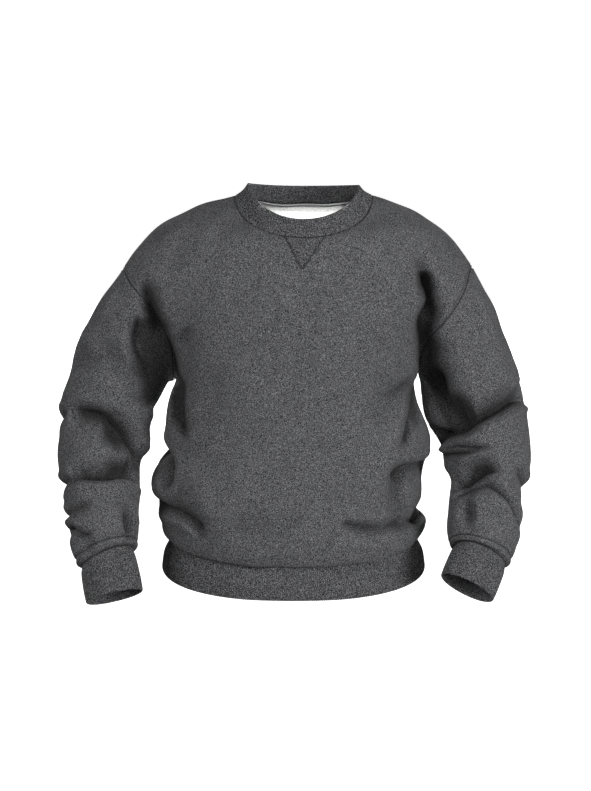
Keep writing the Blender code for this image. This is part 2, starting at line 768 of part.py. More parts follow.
def collar(panels):
    """The neck rib, from the neck seam up to its folded edge."""
    cut = slice(SHOULDER, ACROSS - SHOULDER + 1)
    front, back = panels["front"], panels["back"]
    seam = np.vstack([front[0][0][cut], back[0][0][cut][-2:0:-1]])
    normals = np.vstack([front[1][0][cut], back[1][0][cut][-2:0:-1]])
    angles = np.arctan2(
        seam[:, 1] / np.where(seam[:, 1] < 0, NECK_FRONT, NECK_BACK), seam[:, 0] / NECK_HALF
    )
    cos, sin = np.cos(angles), np.sin(angles)
    deep = np.where(sin < 0, COLLAR_FRONT, COLLAR_BACK)
    end_height = np.where(sin < 0, COLLAR_TOP_FRONT, COLLAR_TOP_BACK)
    height = COLLAR_RISE + (end_height - COLLAR_RISE) * np.abs(sin) ** 1.2
    top = np.stack([COLLAR_HALF * cos, deep * sin, height], axis=1)
    round_way = unit(np.roll(seam, -1, 0) - np.roll(seam, 1, 0))
    up = unit(np.cross(round_way, normals))
    up = np.where(dot(up, top - seam) < 0, -up, up)
    outward = unit(np.stack([cos, sin * 0.9, np.zeros(len(cos))], axis=1))
    lean = top + unit(outward * 0.5 + np.array([0, 0, -0.86])) * 9.0
    rows, ways = swept(seam, normals, up, 9.0, lean, top, 4)
    rows[0] += unit(rows[1] - rows[0]) * 2 * SEAM
    return rib_ring("collar_rib", rows, ways, 3)


def cuff(side):
    """One cuff, from the sleeve's end to its mouth."""
    angles = np.arange(ROUND) * 2 * math.pi / ROUND
    rows = np.array([cuff_ring(side, part, angles) for part in (0.0, 0.3, 0.7, 1.0)])
    middle = rows.mean(axis=1, keepdims=True)
    along = unit(middle[-1] - middle[0])
    ways = rows - middle
    ways = unit(ways - dot(ways, along) * along)
    swell = np.array([0.0, 2.0, 1.5, 0.0])[:, None, None]
    rows = rows + ways * swell
    rows[0] += unit(rows[1] - rows[0]) * 2 * SEAM
    return rib_ring("cuff_" + side, rows, ways, 2)


def neck_tape(panels):
    """The strip that covers the back neck seam inside."""
    points, normals = panels["back"]
    cut = slice(SHOULDER, ACROSS - SHOULDER + 1)
    inner = points - normals * FLEECE
    way = unit(inner[1][cut] - inner[0][cut])
    ways = normals[0][cut]
    rows = np.array([inner[0][cut] + way * start for start in (1.0, 1.0 + TAPE_HEIGHT)])
    outer = rows - ways * LAID_ON
    return wall_mesh("neck_tape", outer, outer - ways * TAPE, ring=False)


def v_insert(lines):
    """The triangle of rib under the collar, moved out from the front panel's surface."""
    seam = lines["neck_front"]
    part = np.linspace(0, 1, INSERT_STEPS + 1)
    across = INSERT_LEFT + (INSERT_RIGHT - INSERT_LEFT) * part
    edge = np.stack([np.interp(across, seam[:, 0], seam[:, axis]) for axis in range(3)], axis=1)
    edge = settled(edge)
    edge += downward(normals_of(edge)) * INSERT_BELOW
    tip = np.array(INSERT_TIP) + np.array([[1.5, 0, 0]]) * (2 * part[:, None] - 1)
    down = part[:, None, None]
    grid = settled(edge[None] * (1 - down) + tip[None] * down, 10)
    points, normals = folded(grid, "body")
    inner = points + normals * LAID_ON
    return wall_mesh("v_insert", inner + normals * INSERT, inner, ring=False)


def fabric(name, colour, roughness):
    """A plain cloth material."""
    material = bpy.data.materials.new(name)
    material.use_nodes = True
    shader = material.node_tree.nodes["Principled BSDF"]
    shader.inputs["Base Color"].default_value = (*colour, 1.0)
    shader.inputs["Roughness"].default_value = roughness
    shader.inputs["Metallic"].default_value = 0.0
    return material


def place(mesh, material, collection):
    """One named object for a mesh."""
    mesh.materials.append(material)
    piece = bpy.data.objects.new(mesh.name, mesh)
    collection.objects.link(piece)
    return piece


def main():
    for thing in list(bpy.data.objects):
        bpy.data.objects.remove(thing)
    collection = bpy.data.collections.new(NAME)
    bpy.context.scene.collection.children.link(collection)
    fleece = fabric("charcoal_fleece", (0.075, 0.077, 0.08), 0.95)
    rib = fabric("charcoal_rib", (0.06, 0.062, 0.065), 0.95)
    jersey = fabric("grey_jersey", (0.22, 0.22, 0.22), 0.95)
    lines = seam_lines()
    panels = {face: panel(face, lines) for face in ("front", "back")}
    for face, (points, normals) in panels.items():
        outer = held_back(points, ("top", "bottom"))
        mesh = wall_mesh(face + "_panel", outer, outer - normals * FLEECE, ring=False)
        place(mesh, fleece, collection)
    for side in ARMS:
        points, normals = sleeve(side, lines)
        outer = held_back(points, ("top", "bottom"), ring=True)
        mesh = wall_mesh("sleeve_" + side, outer, outer - normals * FLEECE, ring=True)
        place(mesh, fleece, collection)
        place(cuff(side), rib, collection)
    place(collar(panels), rib, collection)
    place(hem_rib(panels), rib, collection)
    place(neck_tape(panels), jersey, collection)
    place(v_insert(lines), rib, collection)


main()
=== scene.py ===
"""A charcoal crewneck sweatshirt in brushed fleece, filled out as if worn, with nothing inside it.

Each cut piece is a thin shell on the form of its solid: a coarse grid on one smooth surface,
refined, creased by a table of folds and drawn in at its seams. Rib bands have real wales, and
sewing lies on the cloth as thread. Sizes are in millimetres and become metres in the meshes. The
wearer faces -Y, so the wearer's right side is at -X. The origin is the middle of the neck.
"""

import logging
import math
from dataclasses import dataclass, field
from enum import Enum
from typing import NamedTuple

import bpy
import numpy as np
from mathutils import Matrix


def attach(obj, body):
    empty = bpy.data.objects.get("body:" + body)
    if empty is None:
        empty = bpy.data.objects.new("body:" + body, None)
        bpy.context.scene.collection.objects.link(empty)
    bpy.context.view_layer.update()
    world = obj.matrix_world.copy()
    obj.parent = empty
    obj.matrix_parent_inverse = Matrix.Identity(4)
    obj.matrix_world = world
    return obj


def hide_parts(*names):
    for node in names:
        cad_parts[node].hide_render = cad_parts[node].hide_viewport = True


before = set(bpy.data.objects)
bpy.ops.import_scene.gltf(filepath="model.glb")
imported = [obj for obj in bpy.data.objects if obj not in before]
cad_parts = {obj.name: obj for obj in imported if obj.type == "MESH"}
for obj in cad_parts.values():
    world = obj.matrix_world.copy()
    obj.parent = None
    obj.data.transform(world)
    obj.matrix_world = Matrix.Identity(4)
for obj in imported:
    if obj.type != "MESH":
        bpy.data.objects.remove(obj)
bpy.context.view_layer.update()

Array = np.ndarray
Pair = tuple[Array, Array]
Material = bpy.types.Material
Object = bpy.types.Object
LOG = logging.getLogger("sweatshirt")
MM = 0.001
BODY = "root"
SIDES = ("right", "left")
UP, AHEAD = np.array([0.0, 0.0, 1.0]), np.array([0.0, -1.0, 0.0])

# Walls and seams, as in the solids
FLEECE = 2.4
RIB = 2.6
SEAM = 0.12  # how far each piece stands back from a seam line
TAPE = 1.0
INSERT = 1.2
LAID_ON = 0.4

# Coarse grids, as in the solids
ACROSS = 24
SHOULDER = 6
ARMHOLE = 9
SIDE = 11
ROUND = 2 * ARMHOLE
CAP = 8
TUBE = 17
CAP_DROP = 45.0

# Fine grids
STEPS = 8  # steps in a coarse cell
EDGE_STEPS = (0.0, 0.025, 0.06, 0.1, 0.14, 0.18, 0.24, 0.34, 0.5, 0.66, 0.83)  # next to a seam
ROLL_STEPS = 18  # rows of a rolled edge
NEAR_SEAM, NEAR_ARMHOLE = 40, 60  # fine steps that hold all that lies beside a seam

# What runs along a seam: rows of depth under the cloth, distance from the seam, and width
STITCH_LINE = 4.4
SEAM_DIP = ((1.7, 0.0, 1.6), (-0.5, 2.6, 1.4))
STITCH_DIP = ((1.1, STITCH_LINE, 1.1), (-0.3, STITCH_LINE + 2.6, 1.6))
CUFF_DIP = ((1.6, 15.5, 2.4), (-2.4, 8.0, 4.2))  # the line above a sleeve's roll, and the roll
DEEPEST = 1.7  # the most that all of them together press in


class Section(NamedTuple):
    """One level cut through the torso: its middle, half width, depths and how square it is."""

    height: float
    middle: float
    half: float
    front: float
    back: float
    corner: float


TORSO = [
    Section(*row)
    for row in (
        (-560, -16.0, 203, 152, 138, 2.2),
        (-520, -16.0, 206, 157, 143, 2.2),
        (-500, -15.5, 207, 157, 143, 2.25),
        (-487, -29.0, 200, 156, 142, 2.25),
        (-476, -27.0, 208, 155, 141, 2.25),
        (-455, -27.0, 210, 152, 138, 2.3),
        (-430, -23.0, 210, 147, 132, 2.3),
        (-400, -13.5, 210, 142, 126, 2.3),
        (-380, -10.0, 207, 139, 122, 2.35),
        (-342, -14.0, 199, 135, 116, 2.4),
        (-304, -16.5, 189, 132, 113, 2.4),
        (-270, -12.5, 183, 131, 115, 2.4),
        (-240, -12.0, 182, 130, 117, 2.4),
        (-200, -11.0, 192, 128, 118, 2.35),
        (-160, -11.0, 212, 124, 115, 2.3),
        (-120, -11.0, 227, 117, 110, 2.25),
        (-90, -13.0, 221, 111, 104, 2.2),
        (-71, -12.0, 213, 107, 99, 2.2),
        (-52, -10.0, 201, 98, 92, 2.2),
        (-41, -8.0, 199, 78, 87, 2.2),
        (-28, -6.0, 184, 55, 80, 2.2),
        (-16, -2.5, 155, 36, 69, 2.2),
        (-7, -1.7, 130, 22, 46, 2.2),
        (0, -0.7, 105, 10, 20, 2.2),
        (8, 0.0, 75, 6, 8, 2.2),
    )
]


class ArmRow(NamedTuple):
    """One point of a sleeve's middle line, with its half width and half depth there."""

    x: float
    y: float
    z: float
    across: float
    deep: float


ARMS = {
    "right": (
        ArmRow(-189, 4, -126, 79, 76),
        ArmRow(-242, 5, -200, 80, 76),
        ArmRow(-274, 6, -250, 77, 75),
        ArmRow(-291, 4, -298, 75, 73),
        ArmRow(-306, -4, -338, 72, 70),
        ArmRow(-310, -18, -372, 68, 67),
        ArmRow(-313, -36, -402, 65, 63),
        ArmRow(-311, -55, -432, 60, 60),
        ArmRow(-308, -75, -462, 57, 57),
        ArmRow(-305, -96, -492, 55, 54),
        ArmRow(-301, -112, -514, 50, 46),
    ),
    "left": (
        ArmRow(174, 4, -126, 79, 76),
        ArmRow(215, 4, -194, 80, 76),
        ArmRow(244, 5, -248, 74, 75),
        ArmRow(259, 4, -300, 78, 74),
        ArmRow(269, -4, -337, 77, 71),
        ArmRow(278, -18, -370, 71, 68),
        ArmRow(283, -36, -402, 67, 64),
        ArmRow(283, -50, -425, 60, 60),
        ArmRow(278, -66, -448, 54, 57),
        ArmRow(276, -82, -470, 55, 56),
        ArmRow(274, -98, -494, 56, 54),
        ArmRow(270, -113, -514, 51, 46),
    ),
}
CUFFS = {
    "right": (ArmRow(-298, -122, -527, 39, 34), ArmRow(-283, -160, -585, 43, 25)),
    "left": (ArmRow(267, -124, -530, 40, 34), ArmRow(244, -160, -571, 43, 27)),
}


class SeamRow(NamedTuple):
    """One point of a front armhole seam. Behind, y changes sign."""

    x: float
    y: float
    z: float


ARMHOLES = {
    "right": (
        SeamRow(-278, 9, -107),
        SeamRow(-266, -40, -125),
        SeamRow(-245, -56, -149),
        SeamRow(-218, -64, -189),
        SeamRow(-201, -60, -218),
    ),
    "left": (
        SeamRow(258, 9, -111),
        SeamRow(247, -40, -133),
        SeamRow(231, -56, -160),
        SeamRow(206, -63, -190),
        SeamRow(186, -60, -219),
    ),
}


class Gap(NamedTuple):
    """The gap below an armpit: its top, lean, half width, how fast that grows, and length."""

    x: float
    z: float
    lean: float
    radius: float
    spread: float
    length: float


GAPS = {
    "right": Gap(-199, -274, -0.45, 3.5, 0.10, 60),
    "left": Gap(172, -272, 0.2, 3.0, 0.01, 40),
}


class View(Enum):
    """How the stops of a fold are read."""

    FRONT = "x and z, seen from the front"
    BESIDE = "the same, and the cloth is pushed straight back"
    BACK = "x and z, seen from behind"
    TUBE = "degrees round the sleeve from its inner side past the front, and mm down it"


class Form(Enum):
    """The section of a fold."""

    SOFT = "a rounded trough, or a ridge if its depth is below 0"
    SHARP = "a pinched line that the cloth above rolls over"
    SAG = "cloth that hangs lower"


class Fold(NamedTuple):
    """One fold, and its size in mm.

    The cloth to the left of its way, as seen from outside, has width left and a ridge, and hangs
    over the fold by lip. The cloth to the right has width right.
    """

    form: Form
    depth: float
    left: float
    right: float
    ridge: float
    lip: float
    stops: tuple[float, ...]  # two numbers for each stop
    runs_on: bool = False  # whether it goes on past its start, round the side


SOFT, SHARP, SAG = Form
FOLDS: dict[tuple[str, View], tuple[Fold, ...]] = {
    # The hollows between the body and the sleeves, which cross the armhole seams
    ("all", View.BESIDE): (
        Fold(SOFT, 38, 22, 22, 1, 0, (-240, -326, -234, -308, -226, -290, -220, -268, -224, -240,
            -226, -206, -227, -176)),
        Fold(SOFT, 24, 12, 14, 1, 0, (-224, -208, -228, -178, -234, -150, -241, -120)),
        Fold(SHARP, 22, 9, 20, 3, 3, (-240, -320, -238, -310, -237, -300, -241, -280, -250, -252,
            -261, -218, -258, -194, -248, -170)),
        Fold(SHARP, 22, 8, 16, 3, 2, (-234, -152, -217, -186, -203, -218, -193, -248, -187, -276)),
        Fold(SOFT, 18, 16, 26, 1, 0, (188, -312, 192, -282, 195, -246, 196, -204)),
        Fold(SOFT, 18, 13, 15, 2, 0, (190, -284, 188, -244, 186, -204, 190, -172, 188, -148)),
        Fold(SHARP, 36, 9, 18, 5, 4, (172, -284, 175, -262, 176, -228, 169, -182, 184, -153,
            181, -132, 177, -100)),
    ),
    # The cloth that sags over them
    ("all", View.FRONT): (
        Fold(SAG, 15, 20, 20, 0, 0, (-222, -268, -206, -266, -190, -264, -176, -262)),
        Fold(SOFT, 12, 9, 11, 2, 0, (180, -146, 176, -108, 172, -72)),
        Fold(SAG, 8, 18, 18, 0, 0, (156, -260, 170, -260, 184, -262, 196, -266)),
    ),
    # The front of the body
    ("body", View.FRONT): (
        Fold(SOFT, 6, 10, 12, 2, 0, (-186, -222, -178, -204, -166, -190)),
        Fold(SOFT, 5, 16, 16, 2, 0, (-171, -359, -186, -334, -196, -300)),
        Fold(SHARP, 24, 14, 34, 4, 4, (-224, -384, -213, -392, -203, -405, -207, -422,
            -218, -442), True),
        Fold(SOFT, 6, 18, 22, 2, 0, (-208, -428, -186, -448, -150, -462)),
        Fold(SHARP, 20, 24, 8, 4, 1, (-232, -482, -218, -476, -203, -475, -180, -481,
            -150, -502), True),
        Fold(SHARP, 19, 12, 24, 3, 3, (130, -414, 145, -406, 161, -403, 176, -405, 190, -411,
            204, -417)),
        Fold(SOFT, 10, 14, 20, 2, 0, (164, -405, 146, -428, 143, -451, 150, -490)),
        Fold(SHARP, 15, 9, 16, 5, 4, (52, -474, 100, -485, 147, -491, 167, -492, 200, -494)),
        Fold(SOFT, 4, 22, 22, 1, 0, (-120, -470, -60, -484, 0, -478)),
        Fold(SOFT, 4, 30, 30, 1, 0, (150, -250, 120, -300, 118, -350)),
        Fold(SOFT, 3, 30, 30, 1, 0, (-150, -250, -128, -310, -124, -370)),
    ),
    # Its sides, beside the hollows
    ("body", View.BESIDE): (
        Fold(SHARP, 24, 8, 18, 4, 1, (-198, -244, -188, -262, -182, -284, -181, -306, -184, -334,
            -177, -366)),
        Fold(SOFT, 16, 18, 15, 0, 0, (-202, -292, -197, -318, -196, -350)),
        Fold(SOFT, 16, 14, 14, 0, 0, (178, -292, 173, -318, 168, -348)),
        Fold(SHARP, 20, 9, 18, 4, 4, (144, -374, 151, -350, 158, -322, 164, -296, 171, -270,
            177, -246)),
    ),
    # The back of the body
    ("body", View.BACK): (
        Fold(SOFT, 8, 32, 32, 3, 0, (-200, -310, -160, -262, -110, -224)),
        Fold(SOFT, 8, 32, 32, 3, 0, (176, -310, 138, -262, 90, -224)),
        Fold(SHARP, 7, 10, 16, 2, 2, (-116, -230, -160, -256, -196, -300)),
        Fold(SHARP, 7, 10, 16, 2, 2, (172, -300, 136, -256, 94, -230)),
        Fold(SOFT, 4, 26, 26, 1, 0, (60, -120, 0, -128, -70, -122)),
        Fold(SOFT, 6, 30, 30, 3, 0, (-30, -462, -90, -448, -150, -446)),
        Fold(SOFT, 6, 30, 30, 3, 0, (160, -438, 100, -442, 40, -458)),
        Fold(SHARP, 6, 12, 14, 2, 2, (120, -476, 60, -482, 10, -476)),
        Fold(SHARP, 6, 12, 14, 2, 2, (-60, -474, -120, -480, -180, -474)),
    ),
    # The right sleeve
    ("right", View.TUBE): (
        Fold(SOFT, 7, 18, 20, 3, 0, (177, 172, 131, 164, 112, 152, 84, 159, 56, 180)),
        Fold(SHARP, 30, 12, 26, 5, 4, (146, 256, 122, 252, 98, 252, 78, 261, 58, 274, 38, 289,
            18, 305, -22, 326)),
        Fold(SHARP, 9, 10, 14, 4, 2, (208, 266, 172, 258, 140, 256)),
        Fold(SOFT, 14, 18, 18, 0, 0, (92, 282, 66, 300, 38, 322)),
        Fold(SHARP, 9, 6, 12, 3, 3, (44, 306, 34, 318, 22, 330, 2, 344)),
        Fold(SOFT, -5, 20, 22, 0, 0, (8, 266, -2, 288, -6, 304)),
        Fold(SOFT, 5, 14, 14, 0, 0, (16, 208, 4, 222, -12, 236)),
        Fold(SHARP, 10, 10, 14, 4, 2, (218, 350, 152, 357, 118, 366)),
        Fold(SHARP, 22, 8, 26, 6, 4, (-14, 368, 12, 364, 44, 366, 73, 372, 99, 370, 124, 364,
            142, 362)),
        Fold(SOFT, 15, 14, 14, 1, 0, (80, 352, 52, 351, 30, 347, 2, 346)),
        Fold(SHARP, 10, 10, 12, 3, 2, (218, 402, 150, 407, 118, 407, 92, 409)),
        Fold(SOFT, 17, 11, 12, 3, 0, (38, 408, 32, 424, 28, 444, 20, 462)),
        Fold(SHARP, 16, 8, 16, 5, 4, (198, 422, 151, 430, 135, 442, 120, 450, 98, 458)),
        Fold(SOFT, 4, 20, 20, 2, 0, (150, 118, 126, 128, 100, 120)),
        Fold(SOFT, -5, 9, 9, 0, 0, (150, 50, 146, 84, 140, 118)),
        Fold(SHARP, 14, 10, 20, 4, 3, (334, 262, 290, 272, 250, 268, 215, 280)),
        Fold(SHARP, 10, 10, 16, 3, 2, (340, 322, 300, 338, 250, 330)),
        Fold(SHARP, 13, 10, 18, 4, 3, (335, 392, 290, 382, 240, 392, 210, 386)),
        Fold(SHARP, 7, 10, 14, 2, 1, (320, 432, 270, 440, 220, 434)),
    ),
    # The left sleeve
    ("left", View.TUBE): (
        Fold(SHARP, 28, 9, 28, 6, 4, (198, 230, 167, 236, 144, 242, 122, 250, 91, 261, 74, 267,
            55, 272, 33, 271, 0, 262, -22, 254)),
        Fold(SOFT, 36, 32, 24, 1, 0, (30, 128, 32, 168, 37, 200, 48, 222, 66, 238, 88, 244)),
        Fold(SOFT, 9, 15, 15, 0, 0, (-8, 232, -2, 252, 2, 272, 4, 290)),
        Fold(SOFT, -8, 9, 9, 0, 0, (150, 50, 138, 90, 140, 140)),
        Fold(SOFT, -9, 9, 10, 0, 0, (112, 218, 120, 198, 134, 184, 154, 176)),
        Fold(SHARP, 10, 8, 10, 3, 2, (134, 232, 146, 220, 164, 212, 184, 212)),
        Fold(SHARP, 16, 7, 14, 4, 3, (10, 288, 39, 292, 65, 303, 92, 309)),
        Fold(SHARP, 14, 7, 13, 4, 3, (-10, 284, 16, 300, 48, 311, 74, 319)),
        Fold(SOFT, -8, 7, 9, 0, 0, (28, 330, 64, 319, 88, 319, 110, 330)),
        Fold(SOFT, 18, 10, 11, 2, 0, (28, 354, 46, 350, 66, 345, 94, 343)),
        Fold(SHARP, 26, 7, 18, 4, 4, (106, 346, 86, 352, 63, 361, 42, 367, 2, 372)),
        Fold(SHARP, 19, 9, 14, 5, 3, (16, 384, 34, 378, 59, 373, 84, 368, 114, 377, 134, 388,
            156, 403, 184, 420)),
        Fold(SHARP, 10, 10, 14, 4, 2, (120, 333, 148, 341, 200, 348)),
        Fold(SOFT, 13, 12, 12, 2, 0, (40, 388, 50, 404, 52, 422, 46, 442)),
        Fold(SOFT, 5, 13, 13, 2, 0, (66, 412, 96, 416, 124, 424)),
        Fold(SHARP, 14, 10, 20, 4, 3, (196, 262, 240, 272, 290, 266, 335, 276)),
        Fold(SHARP, 10, 10, 16, 3, 2, (215, 326, 262, 336, 310, 326)),
        Fold(SHARP, 13, 10, 18, 4, 3, (200, 392, 245, 382, 290, 392, 330, 386)),
        Fold(SHARP, 7, 10, 14, 2, 1, (220, 428, 270, 436, 315, 430)),
    ),
}


class SmoothTable:
    """Rows of numbers at rising keys, joined by curves that never overshoot a row."""

    def __init__(self, keys: Array, values: Array) -> None:
        """Stores the rows and works out their tangents.

        Args:
            keys: one rising number for each row.
            values: the rows.
        """
        self.keys = np.asarray(keys, float)
        self.values = np.asarray(values, float)
        steps = np.diff(self.keys)[:, None]
        slopes = np.diff(self.values, axis=0) / steps
        before, after = slopes[:-1], slopes[1:]
        same_way = before * after > 0
        total = np.where(same_way, before + after, 1.0)
        middle = np.where(same_way, 2 * before * after / total, 0.0)
        self.tangents = np.vstack([slopes[:1], middle, slopes[-1:]])

    def __call__(self, at: Array) -> Array:
        """The rows at the given keys.

        Args:
            at: keys, held inside the table's range.

        Returns:
            One row for each key.
        """
        at = np.clip(at, self.keys[0], self.keys[-1])
        row = np.clip(np.searchsorted(self.keys, at, side="right") - 1, 0, len(self.keys) - 2)
        step = self.keys[row + 1] - self.keys[row]
        t = ((at - self.keys[row]) / step)[..., None]
        step = step[..., None]
        return (
            self.values[row] * (1 + 2 * t) * (1 - t) ** 2
            + self.tangents[row] * step * t * (1 - t) ** 2
            + self.values[row + 1] * t * t * (3 - 2 * t)
            - self.tangents[row + 1] * step * t * t * (1 - t)
        )


def curve(stops: tuple[tuple[float, float], ...], parts: Array) -> Array:
    """A smooth curve through stops of a part and a value, read at the parts, as a column."""
    keys, values = np.array(stops).T
    return SmoothTable(keys, values[:, None])(parts)


def read(rows: Array, keys: Array, at: Array | float) -> Array:
    """The rows at the given keys, on straight lines between them."""
    return np.stack([np.interp(at, keys, part) for part in rows.T], axis=-1)


def unit(vectors: Array) -> Array:
    """The vectors at length 1."""
    return vectors / np.maximum(np.linalg.norm(vectors, axis=-1, keepdims=True), 1e-9)


def dot(first: Array, second: Array) -> Array:
    """Row by row dot product, kept as a column."""
    return (first * second).sum(axis=-1, keepdims=True)


def eased(low: float, high: float, value: Array) -> Array:
    """0 below low, 1 above high, smooth between."""
    t = np.clip((value - low) / (high - low), 0.0, 1.0)
    return t * t * (3 - 2 * t)


def hump(value: Array, at: float, wide: float) -> Array:
    """1 where the value is at, falling off over wide to both sides."""
    return np.exp(-(((value - at) / wide) ** 2))


def humps(value: Array, rows: tuple[tuple[float, float, float], ...]) -> Array:
    """The sum of humps, each a row of its height, where it is and how wide it is."""
    return sum(height * hump(value, at, wide) for height, at, wide in rows)


def lengths_along(points: Array, axis: int = 0) -> Array:
    """How far along its line each point lies.

    Args:
        points: lines of points, in mm.
        axis: the axis that runs along each line.

    Returns:
        The distances, from 0.
    """
    steps = np.linalg.norm(np.diff(points, axis=axis), axis=-1)
    start = np.zeros_like(np.take(steps, [0], axis=axis))
    return np.concatenate([start, np.cumsum(steps, axis=axis)], axis=axis)


def refined(grid: Array, positions: Array, axis: int = 0, closed: bool = False) -> Array:
    """The grid read at finer positions along one axis, on curves through its points.

    Args:
        grid: points or other values.
        positions: places counted in points of the grid.
        axis: the axis to refine.
        closed: whether the last point is followed by the first.

    Returns:
        The finer grid.
    """
    grid = np.moveaxis(grid, axis, 0)
    if closed:
        padded = np.concatenate([grid[-1:], grid, grid[:2]])
        last = len(grid) - 1
    else:
        padded = np.concatenate([2 * grid[:1] - grid[1:2], grid, 2 * grid[-1:] - grid[-2:-1]])
        last = len(grid) - 2
    low = np.clip(np.floor(positions).astype(int), 0, last)
    t = (positions - low).reshape(-1, *[1] * (grid.ndim - 1))
    p0, p1, p2, p3 = (padded[low + step] for step in range(4))
    cubic = 0.5 * (
        2 * p1
        + (p2 - p0) * t
        + (2 * p0 - 5 * p1 + 4 * p2 - p3) * t * t
        + (3 * p1 - p0 - 3 * p2 + p3) * t**3
    )
    return np.moveaxis(cubic, 0, axis)


def fine_positions(cells: int, seam_end: bool = False) -> Array:
    """Fine positions over a run of coarse cells that starts at a seam, where they lie closer.

    Args:
        cells: how many coarse cells there are.
        seam_end: whether the run ends at a seam too.

    Returns:
        The positions, counted in cells.
    """
    graded = np.array(EDGE_STEPS)
    parts = [graded, *(np.arange(STEPS) / STEPS + cell for cell in range(1, cells))]
    if seam_end:
        parts[-1] = np.append(cells - 1.0, cells - graded[:0:-1])
    return np.append(np.concatenate(parts), cells)


def pinned(grid: Array, edge: Array, axis: int, at_end: bool, positions: Array) -> Array:
    """The grid moved so that one edge takes the given values, fading over one coarse cell.

    Args:
        grid: points or normals.
        edge: what the edge becomes.
        axis: the axis that runs away from the edge.
        at_end: whether it is the last edge on that axis.
        positions: the grid's positions along the axis, in coarse cells.

    Returns:
        The moved grid.
    """
    away = positions[-1] - positions if at_end else positions
    weight = np.clip(1 - away, 0, 1) ** 2
    here = np.take(grid, -1 if at_end else 0, axis=axis)
    shape = [1, 1, 1]
    shape[axis] = -1
    return grid + np.expand_dims(edge - here, axis) * weight.reshape(shape)


def grid_normals(points: Array, ring: bool, like: Array) -> Array:
    """Unit normals of a grid from its neighbours.

    Args:
        points: the grid.
        ring: whether the last column meets the first.
        like: vectors on the side that the normals have to point to.

    Returns:
        One normal for each point.
    """
    if ring:
        across = np.roll(points, -1, 1) - np.roll(points, 1, 1)
    else:
        across = np.gradient(points, axis=1)
    normals = unit(np.cross(across, np.gradient(points, axis=0)))
    return normals * np.sign(dot(normals, like).mean())


def softened(values: Array, rounds: int, ring: bool = False) -> Array:
    """The grid's values averaged with their neighbours.

    Args:
        values: the grid.
        rounds: how often it is averaged.
        ring: whether the last column meets the first.

    Returns:
        The softer grid.
    """
    for _ in range(rounds):
        padded = np.concatenate([values[:1], values, values[-1:]])
        values = (padded[:-2] + 2 * values + padded[2:]) / 4
        ends = (values[:, -1:], values[:, :1]) if ring else (values[:, :1], values[:, -1:])
        padded = np.concatenate([ends[0], values, ends[1]], axis=1)
        values = (padded[:, :-2] + 2 * values + padded[:, 2:]) / 4
    return values


class Arm:
    """The tube that one sleeve or cuff hangs on."""

    SAMPLES = 180
    SOFTENING = 120

    def __init__(self, rows: tuple[ArmRow, ...]) -> None:
        """Samples the tube's middle line.

        Args:
            rows: the points of the line, from the shoulder down.
        """
        table = np.array(rows, float)
        keys = lengths_along(table[:, :3])
        self.last = keys[-1]
        self.keys = np.linspace(0, self.last, self.SAMPLES)
        self.spine = SmoothTable(keys, table)(self.keys)
        tangents = np.gradient(self.spine[:, :3], axis=0)
        self.lengths = np.linalg.norm(tangents, axis=1)
        self.tangents = unit(softened(tangents[:, None], self.SOFTENING)[:, 0])

    def frame(self, tangents: Array) -> Pair:
        """Unit directions towards the front and towards one side, across the tube."""
        front = unit(AHEAD - dot(tangents, AHEAD) * tangents)
        return front, np.cross(front, tangents)

    def level(self, points: Array) -> Array:
        """How far points lie outside the tube.

        Args:
            points: rows of points.

        Returns:
            Below 0 inside the tube, and about the distance in mm near it.
        """
        nearest = ((points[:, None] - self.spine[None, :, :3]) ** 2).sum(axis=2).argmin(axis=1)
        along = dot(points - self.spine[nearest, :3], self.tangents[nearest])[:, 0]
        place = np.clip(nearest + along / self.lengths[nearest], 0, self.SAMPLES - 1)
        low = np.minimum(place.astype(int), self.SAMPLES - 2)
        part = (place - low)[:, None]
        row = self.spine[low] * (1 - part) + self.spine[low + 1] * part
        tangent = unit(self.tangents[low] * (1 - part) + self.tangents[low + 1] * part)
        front, side = self.frame(tangent)
        away = points - row[:, :3]
        across, deep = row[:, 3:4], row[:, 4:5]
        ratio = np.sqrt(
            (dot(away, side) / across) ** 2
            + (dot(away, front) / deep) ** 2
            + (dot(away, tangent) / deep) ** 2
        )
        return ((ratio - 1) * np.minimum(across, deep))[:, 0]

    def tangent(self, key: float) -> Array:
        """The way the tube points at one key."""
        return unit(read(self.tangents, self.keys, key))

    def at(self, keys: Array | float, angles: Array) -> Array:
        """Points on the tube.

        Args:
            keys: how far down the tube, in mm.
            angles: in radians from the inner side past the front.

        Returns:
            One point for each pair.
        """
        keys = np.broadcast_to(keys, angles.shape)
        row = read(self.spine, self.keys, keys)
        front, side = self.frame(unit(read(self.tangents, self.keys, keys)))
        side = side * -np.sign(side[..., :1] * row[..., :1])
        cos, sin = np.cos(angles)[..., None], np.sin(angles)[..., None]
        return row[..., :3] + side * cos * row[..., 3:4] + front * sin * row[..., 4:5]


